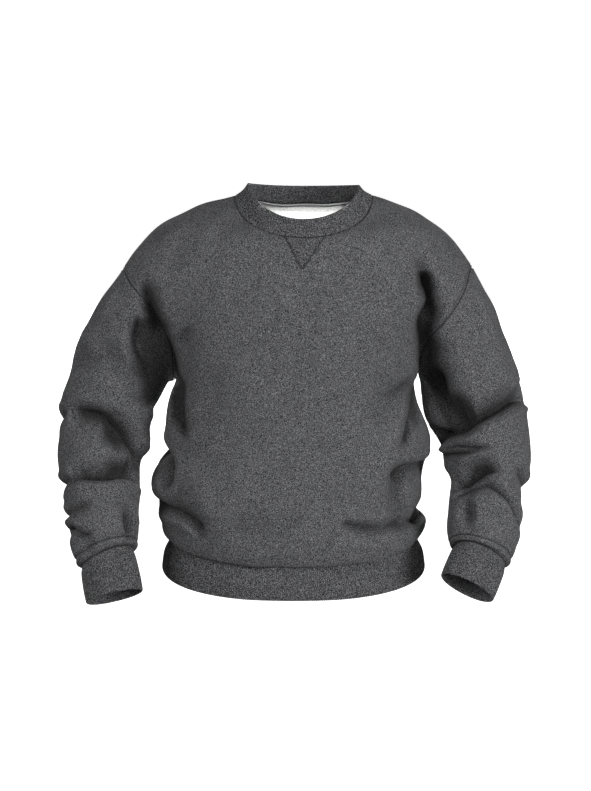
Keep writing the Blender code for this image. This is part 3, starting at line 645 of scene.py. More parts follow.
@dataclass
class Cloth:
    """The whole surface: torso and arms run together above the gaps at the armpits."""

    blend_soft: float = 24.0
    blend_sharp: float = 2.0
    blend_from: float = -235.0
    blend_to: float = -305.0
    gap_rounding: float = 3.0
    reach: float = 0.6  # how far apart the levels are read that give a slope
    least_slope: float = 0.05  # squared, so that a step never becomes endless
    longest_step: float = 30.0
    deepest: float = 200.0  # farther out than any point of the cloth
    halvings: int = 18
    run_samples: int = 40  # to each step of an even run
    torso: SmoothTable = field(
        default_factory=lambda: SmoothTable([row[0] for row in TORSO], [row[1:] for row in TORSO])
    )
    arms: dict[str, Arm] = field(
        default_factory=lambda: {side: Arm(rows) for side, rows in ARMS.items()}
    )

    @staticmethod
    def blended(first: Array, second: Array, radius: Array | float) -> Array:
        """The smaller of two levels, rounded where they meet."""
        part = np.clip(0.5 + 0.5 * (second - first) / radius, 0.0, 1.0)
        return second * (1 - part) + first * part - radius * part * (1 - part)

    def torso_level(self, points: Array) -> Array:
        """How far points lie outside the torso.

        Args:
            points: rows of points.

        Returns:
            Below 0 inside the torso, and about the distance in mm near it.
        """
        middle, half, front, back, corner = self.torso(points[:, 2]).T
        depth = np.where(points[:, 1] < 0, front, back)
        across = np.abs(points[:, 0] - middle) / half
        along = np.abs(points[:, 1]) / depth
        ratio = (across**corner + along**corner) ** (1 / corner)
        return (ratio - 1) * np.minimum(half, depth)

    @staticmethod
    def gap_level(points: Array, gap: Gap) -> Array:
        """How far points lie inside the round-topped gap that parts the arm from the torso.

        Args:
            points: rows of points.
            gap: the gap of one side.

        Returns:
            Above 0 inside the gap.
        """
        way = unit(np.array([gap.lean, -1.0]))
        away = points[:, [0, 2]] - np.array([gap.x, gap.z - gap.radius])
        along = np.clip(away @ way, 0, gap.length)
        reach = np.linalg.norm(away - along[:, None] * way, axis=1)
        return gap.radius + gap.spread * along - reach

    def level(self, points: Array) -> Array:
        """How far points lie outside the cloth.

        Args:
            points: rows of points.

        Returns:
            Below 0 inside the cloth, and 0 on it.
        """
        level = self.torso_level(points)
        sharper = eased(self.blend_to, self.blend_from, points[:, 2])
        radius = self.blend_sharp + (self.blend_soft - self.blend_sharp) * sharper
        for arm in self.arms.values():
            level = self.blended(level, arm.level(points), radius)
        for gap in GAPS.values():
            level = -self.blended(-level, -self.gap_level(points, gap), self.gap_rounding)
        return level

    def slope(self, points: Array) -> Array:
        """The gradient of the level.

        Args:
            points: rows of points.

        Returns:
            One vector for each point.
        """
        steps = np.eye(3) * self.reach
        rises = [self.level(points + step) - self.level(points - step) for step in steps]
        return np.stack(rises, axis=1) / (2 * self.reach)

    def settled(self, points: Array, steps: int = 6, hold_x: bool = False) -> Array:
        """The points moved onto the surface.

        Args:
            points: any array of points.
            steps: rounds of Newton's method.
            hold_x: whether each point keeps its x.

        Returns:
            The moved points in the same shape.
        """
        shape = points.shape
        points = points.reshape(-1, 3).copy()
        for _ in range(steps):
            value, gradient = self.level(points), self.slope(points)
            if hold_x:
                gradient[:, 0] = 0.0
            steepness = np.maximum((gradient**2).sum(axis=1), self.least_slope)
            move = (value / steepness)[:, None] * gradient
            length = np.linalg.norm(move, axis=1, keepdims=True)
            points -= move * np.minimum(1.0, self.longest_step / np.maximum(length, 1e-9))
        return points.reshape(shape)

    def normals(self, points: Array) -> Array:
        """Outward unit normals of the surface at the points."""
        return unit(self.slope(points.reshape(-1, 3))).reshape(points.shape)

    def even_run(self, points: Array, count: int, hold_x: bool = False) -> Array:
        """Points spaced evenly on the cloth, along a smooth curve.

        Args:
            points: what the curve runs through.
            count: how many steps it is cut into.
            hold_x: whether each point keeps its x as it settles on the cloth.

        Returns:
            count + 1 points.
        """
        points = np.asarray(points, float)
        keys = lengths_along(points)
        fine = SmoothTable(keys, points)(np.linspace(0, keys[-1], self.run_samples * count + 1))
        fine = self.settled(fine, hold_x=hold_x)
        lengths = lengths_along(fine)
        return read(fine, lengths, np.linspace(0, lengths[-1], count + 1))

    def under(self, x: Array, z: Array, front: bool) -> Array:
        """The points of the front or back that show at x and z.

        Args:
            x: one number for each point.
            z: one number for each point.
            front: whether they are seen from the front.

        Returns:
            The points on the cloth.
        """
        sign = -1.0 if front else 1.0
        near, far = np.zeros(len(x)), np.full(len(x), self.deepest)
        for _ in range(self.halvings):
            middle = (near + far) / 2
            outside = self.level(np.stack([x, sign * middle, z], axis=1)) > 0
            far = np.where(outside, middle, far)
            near = np.where(outside, near, middle)
        return self.settled(np.stack([x, sign * near, z], axis=1))


class Crease:
    """One fold laid on the cloth, which can say how it moves the points near it."""

    SAMPLES = 44
    SOFTENING = 6
    ROUND_MM = 1.1  # about the mm in a degree round a sleeve
    WIDTHS, MARGIN = 3.2, 10.0  # how many of its widths, and mm more, a fold is felt over
    THROUGH, PUSHED_THROUGH = 38.0, 62.0  # how deep below the surface a fold is felt, in mm
    FADE, SHORT_FADE = 26.0, 0.4  # how many mm an end runs out over, and the most of its length
    PAST_END = 4.0  # how far past its ends it is felt, in mm
    RUNS_ON = (-60.0, -20.0)  # between which places, from its start, a fold that runs on fades in
    RIDGE = (1.8, 0.8)  # where a soft fold's ridge lies and how wide it is, in widths of the fold
    PINCH, TIP, TIP_LENGTH = 1.8, 0.03, 0.17  # how fast a sharp fold opens, and its rounding
    RIDGE_LEFT, RIDGE_RIGHT, RIGHT_SHARE = (1.25, 0.7), (1.5, 0.7), 0.5
    LEAN, LEAN_RIGHT = (0.5, 0.45), (0.0, 0.3)  # where the cloth leans over a sharp fold

    def __init__(self, piece: str, view: View, fold: Fold, cloth: Cloth) -> None:
        """Lays the fold's line on the surface.

        Args:
            piece: what the fold belongs to: body, right, left, or all.
            view: how its stops are read.
            fold: its row of the table.
            cloth: the surface.
        """
        self.piece, self.fold, self.beside = piece, fold, view is View.BESIDE
        stops = np.array(fold.stops, float).reshape(-1, 2)
        keys = lengths_along(stops * [self.ROUND_MM, 1.0] if view is View.TUBE else stops)
        line = SmoothTable(keys, stops)(np.linspace(0, keys[-1], self.SAMPLES))
        if len(stops) > 2:
            line = softened(line[:, None], self.SOFTENING)[:, 0]
        if view is View.TUBE:
            self.line = cloth.settled(cloth.arms[piece].at(line[:, 1], np.radians(line[:, 0])))
        else:
            self.line = cloth.under(line[:, 0], line[:, 1], view is not View.BACK)
        self.normals = cloth.normals(self.line)
        self.tangents = unit(np.gradient(self.line, axis=0))
        self.across = unit(np.cross(self.normals, self.tangents))
        self.run = lengths_along(self.line)[-1]
        self.push: Array | None = None
        if self.beside:
            self.push = AHEAD
        elif fold.form is SAG:
            self.push = UP

    def moves(self, points: Array, normals: Array) -> Array:
        """How the fold moves each point.

        Args:
            points: rows of points.
            normals: their outward normals.

        Returns:
            One vector in mm for each point.
        """
        fold = self.fold
        fade = min(self.FADE, self.SHORT_FADE * self.run)
        start = self.RUNS_ON if fold.runs_on else (-self.PAST_END, fade)
        reach = self.WIDTHS * max(fold.left, fold.right) + self.MARGIN
        reach -= self.RUNS_ON[0] * fold.runs_on
        low, high = self.line.min(axis=0) - reach, self.line.max(axis=0) + reach
        near = np.flatnonzero(((points > low) & (points < high)).all(axis=1))
        total = np.zeros_like(points)
        if not len(near):
            return total
        nearest = ((points[near][:, None] - self.line[None]) ** 2).sum(axis=2).argmin(axis=1)
        away = points[near] - self.line[nearest]
        sideways, onward, inward = (
            dot(away, ways[nearest])[:, 0] for ways in (self.across, self.tangents, self.normals)
        )
        along = nearest / (self.SAMPLES - 1) * self.run + onward
        ends = eased(*start, along)
        ends = ends * (1 - eased(self.run - fade, self.run + self.PAST_END, along))
        through = self.THROUGH if self.push is None else self.PUSHED_THROUGH
        left = np.maximum(sideways, 0) / fold.left
        right = np.maximum(-sideways, 0) / fold.right
        both = left + right
        if fold.form is SHARP:
            trough = np.exp(-self.PINCH * (np.sqrt(both**2 + self.TIP) - self.TIP_LENGTH))
            ridge = hump(left, *self.RIDGE_LEFT) + self.RIGHT_SHARE * hump(right, *self.RIDGE_RIGHT)
            lean = hump(left, *self.LEAN)
            shift = -fold.lip * np.where(sideways > 0, lean, lean * hump(right, *self.LEAN_RIGHT))
        else:
            trough, ridge, shift = hump(both, 0, 1), hump(both, *self.RIDGE), both * 0
        height = fold.ridge * ridge - fold.depth * trough
        way = normals[near] if self.push is None else self.push
        move = way * height[:, None] + self.across[nearest] * shift[:, None]
        total[near] = move * (ends * hump(inward, 0, through))[:, None]
        return total


@dataclass
class Folds:
    """All the folds, and the slight unevenness that cloth has everywhere."""

    cloth: Cloth
    creases: list[Crease] = field(default_factory=list)
    middle: float = 5.0  # the depth y that no cloth is pushed past
    room: float = 0.6  # how much of the way there it may be pushed
    least_room: float = 0.001
    ripple: float = 0.5
    ripple_lengths: tuple[tuple[float, float, float, float], ...] = (
        (0.071, 0.023, 0.052, 0.3),
        (-0.038, 0.064, 0.083, 1.9),
        (0.096, -0.047, -0.031, 4.1),
        (-0.055, -0.089, 0.060, 2.6),
    )

    def __post_init__(self) -> None:
        """Lays every fold of the table."""
        for (piece, view), rows in FOLDS.items():
            self.creases += [Crease(piece, view, fold, self.cloth) for fold in rows]

    def at(self, points: Array, normals: Array, **shares: float | Array) -> Array:
        """How the cloth moves at the points.

        Args:
            points: a grid of points.
            normals: their outward normals.
            shares: for each piece's folds, how much of them is felt.

        Returns:
            One vector in mm for each point.
        """
        flat, ways = points.reshape(-1, 3), normals.reshape(-1, 3)
        total, pushed = np.zeros_like(flat), np.zeros_like(flat)
        for crease in self.creases:
            if crease.piece in shares:
                share = np.broadcast_to(shares[crease.piece], (*points.shape[:-1], 1))
                moves = pushed if crease.beside else total
                moves += crease.moves(flat, ways) * share.reshape(-1, 1)
        room = self.room * np.maximum(self.middle - flat[:, 1], self.least_room)
        pushed[:, 1] = room * np.tanh(pushed[:, 1] / room)
        for *rates, start in self.ripple_lengths:
            total += ways * (np.sin(flat @ np.array(rates) + start) * self.ripple)[:, None]
        return (total + pushed).reshape(points.shape)

    def body(self, points: Array, normals: Array) -> Array:
        """How the cloth of the body moves at the points."""
        return self.at(points, normals, all=1.0, body=1.0)


def swept(
    start: Pair, down: Array, first: Array | float, last: Array, end: Array, count: int
) -> Pair:
    """A band on cubic curves that leave the cloth at start and end at end.

    Args:
        start: the points it leaves from, and their outward normals.
        down: the way it leaves in.
        first: how far that way the second handle of each curve lies.
        last: the third handle of each curve.
        end: the last point of each curve.
        count: how many steps each is cut into.

    Returns:
        Rows of points and their normals.
    """
    t = np.linspace(0, 1, count + 1)[:, None, None]
    p0, p1, p2, p3 = start[0], start[0] + down * first, last, end
    points = (1 - t) ** 3 * p0 + 3 * t * (1 - t) ** 2 * p1 + 3 * t * t * (1 - t) * p2 + t**3 * p3
    ways = (1 - t) ** 2 * (p1 - p0) + 2 * t * (1 - t) * (p2 - p1) + t * t * (p3 - p2)
    return points, unit(np.cross(unit(ways), np.cross(start[1], down)[None]))


def downward(normals: Array) -> Array:
    """The steepest way down along the surface."""
    return unit(dot(normals, UP) * normals - UP)


def coons(top: Array, bottom: Array, left: Array, right: Array) -> Array:
    """A grid between four edges.

    Args:
        top: the first row.
        bottom: the last row.
        left: the first column.
        right: the last column.

    Returns:
        The grid.
    """
    v = np.linspace(0, 1, len(left))[:, None, None]
    u = np.linspace(0, 1, len(top))[None, :, None]
    across = (1 - v) * top[None] + v * bottom[None]
    down = (1 - u) * left[:, None] + u * right[:, None]
    above, below = ((1 - u) * edge[0] + u * edge[-1] for edge in (top, bottom))
    return across + down - (1 - v) * above - v * below


def joined(front: Array, back: Array) -> Array:
    """One ring from a front and a back line with the same two ends."""
    return np.vstack([front, back[-2:0:-1]])


def on_ring(ring: Array, face: str, places: Array) -> Array:
    """A joined ring's points at places counted from the right end of its front or back line."""
    places = places if face == "front" else (len(ring) - places) % len(ring)
    return refined(ring, places, closed=True)


class Pattern:
    """Every seam line, coarse as in the solids and readable at any finer position."""

    NECK_HALF = 105.0
    NECK_FRONT, NECK_BACK = 100.0, 68.0
    NECK_DROP_FRONT, NECK_DROP_BACK = 52.0, 15.0
    NECK_OVERLAP = 5.0  # degrees that each neck line starts and ends past the shoulder
    PIT_DEPTH, PIT_CORNER = 6.0, 42.0
    BEHIND = 0.94  # how deep the armhole is behind, as a share of its depth in front
    SHOULDER_RISE = 8.0
    SIDE_DEPTH, SIDE_SAMPLES = 3.0, 14
    HEM_START = -504.0
    SAMPLES = 60

    def __init__(self, cloth: Cloth) -> None:
        """Lays every seam on the cloth.

        Args:
            cloth: the surface.
        """
        self.cloth = cloth
        self.lines: dict[str, Array] = {}
        self.armholes: dict[str, Array] = {}
        self.neck_lines()
        for side in SIDES:
            self.side_lines(side)
        self.hem_lines()
        self.neck = joined(self.lines["neck_front"], self.lines["neck_back"])
        self.hem = joined(self.lines["hem_front"], self.lines["hem_back"])

    def neck_lines(self) -> None:
        """The neck seam, a sloping ellipse that is deeper in front."""
        overlap = math.radians(self.NECK_OVERLAP)
        for face, sign in (("front", -1), ("back", 1)):
            angles = np.linspace(sign * math.pi - overlap, overlap, self.SAMPLES)
            cos, sin = np.cos(angles), np.sin(angles)
            deep = np.where(sin < 0, self.NECK_FRONT, self.NECK_BACK)
            drop = np.where(sin < 0, self.NECK_DROP_FRONT, self.NECK_DROP_BACK)
            rough = np.stack([self.NECK_HALF * cos, deep * sin, -drop * np.abs(sin)], axis=1)
            run = self.cloth.even_run(self.cloth.settled(rough), ACROSS - 2 * SHOULDER)
            self.lines["neck_" + face] = run

    def side_lines(self, side: str) -> None:
        """One side's armhole, shoulder and side seams.

        Args:
            side: the wearer's right or left.
        """
        gap, cloth = GAPS[side], self.cloth
        corner = (gap.x, self.PIT_DEPTH - self.PIT_CORNER, gap.z)
        rows = np.array([*ARMHOLES[side], corner, (gap.x, self.PIT_DEPTH, gap.z)], float)
        behind = rows * [1, -self.BEHIND, 1]
        behind[0], behind[-1] = rows[0], rows[-1]
        behind[-2, 1] = self.PIT_DEPTH + self.PIT_CORNER
        front, back = (cloth.even_run(line, ARMHOLE, True) for line in (rows, behind))
        tip, pit = front[0], front[-1]
        back[0], back[-1] = tip, pit
        self.lines["armhole_front_" + side], self.lines["armhole_back_" + side] = front, back
        self.armholes[side] = np.vstack([front[::-1], back[1:-1]])
        neck = self.lines["neck_front"][0 if side == "right" else -1]
        middle = (tip + neck) / 2 + UP * self.SHOULDER_RISE
        shoulder = cloth.even_run([tip, middle, neck], SHOULDER)
        shoulder[0], shoulder[-1] = tip, neck
        self.lines["shoulder_" + side] = shoulder
        heights = np.linspace(pit[2], self.HEM_START, self.SIDE_SAMPLES)
        width = cloth.torso(heights)
        x = width[:, 0] + (-1 if side == "right" else 1) * width[:, 1]
        down = np.stack([x, heights * 0 + self.SIDE_DEPTH, heights], axis=1)
        down[0] = pit
        self.lines["side_" + side] = cloth.even_run(down, SIDE)
        self.lines["side_" + side][0] = pit

    def hem_lines(self) -> None:
        """The lines that the hem's roll starts from."""
        ends = [self.lines["side_" + side][-1] for side in SIDES]
        section = self.cloth.torso(np.array([self.HEM_START]))[0]
        turns = np.linspace(math.pi, 0, self.SAMPLES)
        for face, sign, deep in (("front", -1, section[2]), ("back", 1, section[3])):
            x = section[0] + section[1] * np.cos(turns)
            run = np.stack([x, sign * deep * np.sin(turns), x * 0 + self.HEM_START], axis=1)
            run[[0, -1]] = ends
            self.lines["hem_" + face] = self.cloth.even_run(run, ACROSS)
            self.lines["hem_" + face][[0, -1]] = ends


def linear(colour: str) -> tuple[float, float, float, float]:
    """The linear colour of an sRGB hex value.

    Args:
        colour: such as "#555557".

    Returns:
        Red, green, blue and 1.
    """
    values = [int(colour[at : at + 2], 16) / 255 for at in (1, 3, 5)]
    red, green, blue = (v / 12.92 if v <= 0.04045 else ((v + 0.055) / 1.055) ** 2.4 for v in values)
    return red, green, blue, 1.0


def add_node(
    tree: bpy.types.NodeTree,
    kind: str,
    settings: dict[str, object],
    links: dict[str | int, bpy.types.NodeSocket],
) -> bpy.types.NodeOutputs:
    """Adds a node.

    Args:
        tree: the material's nodes.
        kind: the node's type, without ShaderNode.
        settings: attributes, or values of inputs where a name is an input's.
        links: what feeds the inputs.

    Returns:
        The new node's outputs.
    """
    node = tree.nodes.new("ShaderNode" + kind)
    for name, value in settings.items():
        if name in node.inputs:
            node.inputs[name].default_value = value
        else:
            setattr(node, name, value)
    for name, socket in links.items():
        tree.links.new(socket, node.inputs[name])
    return node.outputs


def new_shader(
    name: str, **settings: object
) -> tuple[Material, bpy.types.NodeTree, bpy.types.Node]:
    """A new material with one Principled shader.

    Args:
        name: the material's name.
        settings: values of the shader's inputs, with _ for each space.

    Returns:
        The material, its nodes and the shader.
    """
    material = bpy.data.materials.new(name)
    material.use_nodes = True
    shader = material.node_tree.nodes["Principled BSDF"]
    for setting, value in settings.items():
        shader.inputs[setting.replace("_", " ")].default_value = value
    return material, material.node_tree, shader


@dataclass(frozen=True)
class Paper:
    """Matt white paper, lit so that it stays pale."""

    name: str
    glow: float
    roughness: float

    def build(self) -> Material:
        """Makes the material.

        Returns:
            The material.
        """
        white, base = (1.0, 1.0, 1.0, 1.0), (0.9, 0.9, 0.9, 1.0)
        look = {"Base_Color": base, "Emission_Color": white, "Emission_Strength": self.glow}
        return new_shader(self.name, Roughness=self.roughness, **look)[0]


@dataclass(frozen=True)
class Heather:
    """Heather yarn: dark and light fibres mixed, seen as fine salt and pepper."""

    name: str
    dark: str
    middle: str
    light: str
    fleck_mm: float  # size of a fleck
    stretch: float  # how much longer a fleck is up the cloth than across it
    nap_mm: float  # height of the fibre ends
    cloud: float  # how much the tone drifts over a few centimetres
    sheen: float
    groove: float = 0.0  # how much painted shade darkens it where the painted shade mark is 1
    cloud_mm: float = 26.0  # size of the drifts of tone
    spread: tuple[float, float, float] = (0.36, 0.5, 0.64)  # the noise at dark, middle and light

    def build(self) -> Material:
        """Makes the material: flecks, a slow drift of tone, painted shade where the mark is set, and a
        matt fibre surface.

        Returns:
            The material.
        """
        material, tree, shader = new_shader(
            self.name,
            Roughness=0.95,
            Specular_IOR_Level=0.15,
            Sheen_Weight=self.sheen,
            Sheen_Roughness=0.6,
        )
        place = add_node(tree, "TexCoord", {}, {})["Object"]
        stretched = {"Scale": (1.0, 1.0, 1.0 / self.stretch)}
        drawn = add_node(tree, "Mapping", stretched, {"Vector": place})["Vector"]
        noise = {"Scale": 1.0 / (self.fleck_mm * MM), "Detail": 1.5, "Roughness": 0.6}
        fleck = add_node(tree, "TexNoise", noise, {"Vector": drawn})["Fac"]
        noise = {"Scale": 1.0 / (self.cloud_mm * MM), "Detail": 2.0, "Roughness": 0.5}
        clouds = add_node(tree, "TexNoise", noise, {"Vector": place})["Fac"]
        colour = add_node(tree, "ValToRGB", {}, {"Fac": fleck})["Color"]
        stops = colour.node.color_ramp.elements
        stops.new(self.spread[1])
        for stop, at, shade in zip(stops, self.spread, (self.dark, self.middle, self.light)):
            stop.position, stop.color = at, linear(shade)
        drift = {"From Min": 0.3, "From Max": 0.7}
        drift |= {"To Min": 1 - self.cloud, "To Max": 1 + self.cloud}
        shares = [add_node(tree, "MapRange", drift, {"Value": clouds})["Result"]]
        # Painted shade: the base colour is darkened where the point's painted shade mark is set, in
        # folds, seams and between wales
        if self.groove:
            mark = add_node(tree, "Attribute", {"attribute_name": "groove"}, {})["Fac"]
            shade = {"To Min": 1.0, "To Max": 1 - self.groove}
            shares.append(add_node(tree, "MapRange", shade, {"Value": mark})["Result"])
        for share in shares:
            inputs = {0: colour, "Scale": share}
            colour = add_node(tree, "VectorMath", {"operation": "SCALE"}, inputs)["Vector"]
        tree.links.new(colour, shader.inputs["Base Color"])
        nap = {"Strength": 0.6, "Distance": self.nap_mm * MM}
        bump = add_node(tree, "Bump", nap, {"Height": fleck})["Normal"]
        tree.links.new(bump, shader.inputs["Normal"])
        return material


# The face of the fleece: a knit of charcoal heather cotton, matt, with salt and pepper flecks.
# Real flecks are too fine to show, so on every face they are drawn as coarse as they need to be.
# Its last number is painted shade, which darkens it in deep folds and in its seams.
FLEECE_FACE = Heather(
    "charcoal_heather_knit", "#17171a", "#4c4c4e", "#9a9a9c", 1.0, 1.0, 0.25, 0.05, 0.05, 0.75
)
# The brushed back of the fleece: off-white fibre, combed up into a soft pile.
# Its last number is painted shade, which darkens it inside deep folds.
FLEECE_BACK = Heather(
    "off_white_brushed_fleece", "#dbdcd9", "#e9eae7", "#f5f5f3", 2.2, 1.0, 0.25, 0.03, 0.1, 0.92
)
# Rib knit in the same yarn, a little darker because its grooves lie in shade.
# Its last number is painted shade between its wales and at its seam.
RIB_FACE = Heather(
    "charcoal_heather_rib", "#101012", "#464648", "#a6a6a8", 1.0, 1.3, 0.2, 0.04, 0.05, 0.75
)
# The same rib with its dark and light fibres closer in tone, for a piece that is cut from it flat.
# Its last number is painted shade along its edges and its line of stitches.
INSERT_FACE = Heather(
    "charcoal_heather_insert", "#141416", "#424244", "#929293", 1.0, 1.3, 0.2, 0.04, 0.05, 0.8
)
# Plain jersey cut into a tape, mid grey.
TAPE_FACE = Heather("grey_jersey_tape", "#8a8a8c", "#9a9a9c", "#aaaaac", 1.2, 1.0, 0.1, 0.03, 0.1)
# Spun polyester thread in the colour of the cloth, with a faint shine.
THREAD = Heather(
    "charcoal_sewing_thread", "#38383a", "#5c5c5f", "#7c7c7f", 0.8, 1.0, 0.05, 0.0, 0.1
)


def shell_faces(rows: int, columns: int, ring: bool) -> Pair:
    """The quads of a closed shell between two equal grids.

    Args:
        rows: rows of each grid.
        columns: columns of each grid.
        ring: whether the last column meets the first.

    Returns:
        The quads, and 1 for each that belongs to the inner grid.
    """
    spans = np.arange(columns if ring else columns - 1)
    row, column = (part.ravel() for part in np.meshgrid(np.arange(rows - 1), spans, indexing="ij"))
    after = (column + 1) % columns
    a, b = row * columns + column, row * columns + after
    c, d = (row + 1) * columns + after, (row + 1) * columns + column
    base = rows * columns
    outer = np.stack([a, b, c, d], axis=1)
    turned = [0, 3, 2, 1]  # the same corners the other way round
    inner = outer[:, turned] + base
    ends = (spans + 1) % columns
    top = np.stack([spans, spans + base, ends + base, ends], axis=1)
    bottom = top[:, turned] + (rows - 1) * columns
    quads = [outer, inner, top, bottom]
    if not ring:
        here, below = np.arange(rows - 1) * columns, np.arange(1, rows) * columns
        left = np.stack([here, below, below + base, here + base], axis=1)
        quads += [left, left[:, turned] + columns - 1]
    marks = np.zeros(sum(len(part) for part in quads), int)
    marks[len(outer) : len(outer) + len(inner)] = 1
    return np.vstack(quads), marks


def torus_faces(rows: int, columns: int) -> Array:
    """The quads of a grid whose rows and columns both close.

    Args:
        rows: rows of the grid.
        columns: columns of the grid.

    Returns:
        Four point numbers for each face.
    """
    row, column = (part.ravel() for part in np.indices((rows, columns)))
    here, below = row * columns, (row + 1) % rows * columns
    after = (column + 1) % columns
    return np.stack([here + column, here + after, below + after, below + column], axis=1)


def volume_of(points: Array, quads: Array) -> float:
    """Six times the volume inside the quads, negative where they point inwards."""
    a, b, c, d = (points[quads[:, at]] for at in range(4))
    return float((np.cross(a, b) * c).sum() + (np.cross(a, c) * d).sum())


@dataclass
class Piece:
    """Where a finished piece stands among the solids."""

    name: str
    node: str = ""  # the solid that it replaces
    slot: str = ""

    def make(
        self,
        points: Array,
        quads: Array,
        *materials: Material,
        marks: Array | None = None,
        grooves: Array | None = None,
    ) -> Object:
        """Makes one smooth object whose faces point outwards, parents it to the body, and hides the
        solid that it replaces.

        Args:
            points: grids of points, in mm.
            quads: four point numbers for each face.
            materials: its finishes.
            marks: the material number of each face.
            grooves: painted shade for each point of its first grid, 1 where it is painted
            fully dark as the shade in folds, seams and between wales. A second grid repeats them.

        Returns:
            The object, linked to the scene.
        """
        points = points.reshape(-1, 3)
        if volume_of(points, quads) < 0:
            quads = quads[:, ::-1]
        mesh = bpy.data.meshes.new(self.name)
        mesh.vertices.add(len(points))
        mesh.vertices.foreach_set("co", (points * MM).astype(np.float32).ravel())
        mesh.loops.add(quads.size)
        mesh.loops.foreach_set("vertex_index", quads.astype(np.int32).ravel())
        mesh.polygons.add(len(quads))
        mesh.polygons.foreach_set("loop_start", np.arange(0, quads.size, 4, dtype=np.int32))
        if marks is not None:
            mesh.polygons.foreach_set("material_index", marks.astype(np.int32))
        mesh.update(calc_edges=True)
        mesh.validate()
        mesh.shade_smooth()
        if grooves is not None:
            shade = np.tile(np.clip(grooves, 0, 1).ravel(), len(points) // grooves.size)
            attribute = mesh.attributes.new("groove", "FLOAT", "POINT")
            attribute.data.foreach_set("value", shade.astype(np.float32))
        for material in materials:
            mesh.materials.append(material)
        piece = bpy.data.objects.new(self.name, mesh)
        bpy.context.scene.collection.objects.link(piece)
        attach(piece, BODY)
        if self.node:
            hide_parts(self.node)
        LOG.info("%s: %d faces", self.name, len(quads))
        return piece

    def make_shell(
        self,
        outer: Array,
        inner: Array,
        *materials: Material,
        ring: bool = False,
        grooves: Array | None = None,
    ) -> Object:
        """Makes a closed shell between two equal grids.

        Args:
            outer: the grid that shows.
            inner: the grid behind it.
            materials: the outer side's finish, and the inner side's if that differs.
            ring: whether the last column meets the first.
            grooves: painted shade, as make takes it.

        Returns:
            The object.
        """
        quads, marks = shell_faces(*outer.shape[:2], ring)
        marks = marks if len(materials) > 1 else None
        return self.make(np.stack([outer, inner]), quads, *materials, marks=marks, grooves=grooves)


def inset(values: Array, away: float, points: Array | None = None) -> Array:
    """One value from each row of a grid, that far along the row in mm.

    Args:
        values: the grid to read.
        away: how far along each row.
        points: the points of the grid, where values are something else.

    Returns:
        One row of values.
    """
    lengths = lengths_along(values if points is None else points, 1)
    return np.array([read(row, length, away) for length, row in zip(lengths, values)])


class FleecePiece(Piece):
    """A piece of fleece, its knit face outside and its brushed back inside."""

    NAP_TURN = 0.8  # how far the way in which a fold's depth is counted for its painted shade turns forwards
    SHUT_DEPTH, SHUT_POWER = 19.0, 1.2  # the fold depth in mm that gets full painted shade, and how fast it grows
    SEAM_SHUT, SHUT_FROM = 0.9, 0.5  # how much painted shade a seam gets, and from which depth in mm

    def finish(self, points: Array, normals: Array, moves: Array, sink: Array, ring: bool) -> None:
        """Sinks the cloth at its seams, marks painted shade in its folds and seams, and gives it its
        wall.

        Args:
            points: the creased grid.
            normals: its outward normals.
            moves: how the folds moved it; there may be fewer rows than in points.
            sink: how deep it lies under its surface near the seams.
            ring: whether the last column meets the first.
        """
        sink = np.minimum(sink, DEEPEST)
        # Painted shade: the deeper a fold presses the cloth in, or the deeper it sinks at a seam, the
        # darker it is painted
        ways = unit(normals[: len(moves)] + AHEAD * self.NAP_TURN)
        deep = np.zeros_like(sink)
        deep[: len(moves)] = -dot(moves, ways)[..., 0]
        in_folds = np.clip(deep / self.SHUT_DEPTH, 0, 1) ** self.SHUT_POWER
        at_seams = self.SEAM_SHUT * eased(self.SHUT_FROM, DEEPEST, sink)
        self.grooves, self.ring = np.maximum(in_folds, at_seams), ring
        points = points - normals * sink[..., None]
        edges = [points] if ring else [points, points.swapaxes(0, 1)]
        for edge in edges:
            edge[0] += unit(edge[1] - edge[0]) * SEAM
            edge[-1] += unit(edge[-2] - edge[-1]) * SEAM
        self.points, self.normals = points, normals
        inner_ways = unit(softened(grid_normals(points, ring, normals), 3, ring))
        self.inner = points - inner_ways * FLEECE

    def build(self, face: Material, back: Material) -> Object:
        """Makes the piece.

        Args:
            face: the finish of the knit face.
            back: the finish of the brushed back.

        Returns:
            The object.
        """
        return self.make_shell(
            self.points, self.inner, face, back, ring=self.ring, grooves=self.grooves
        )


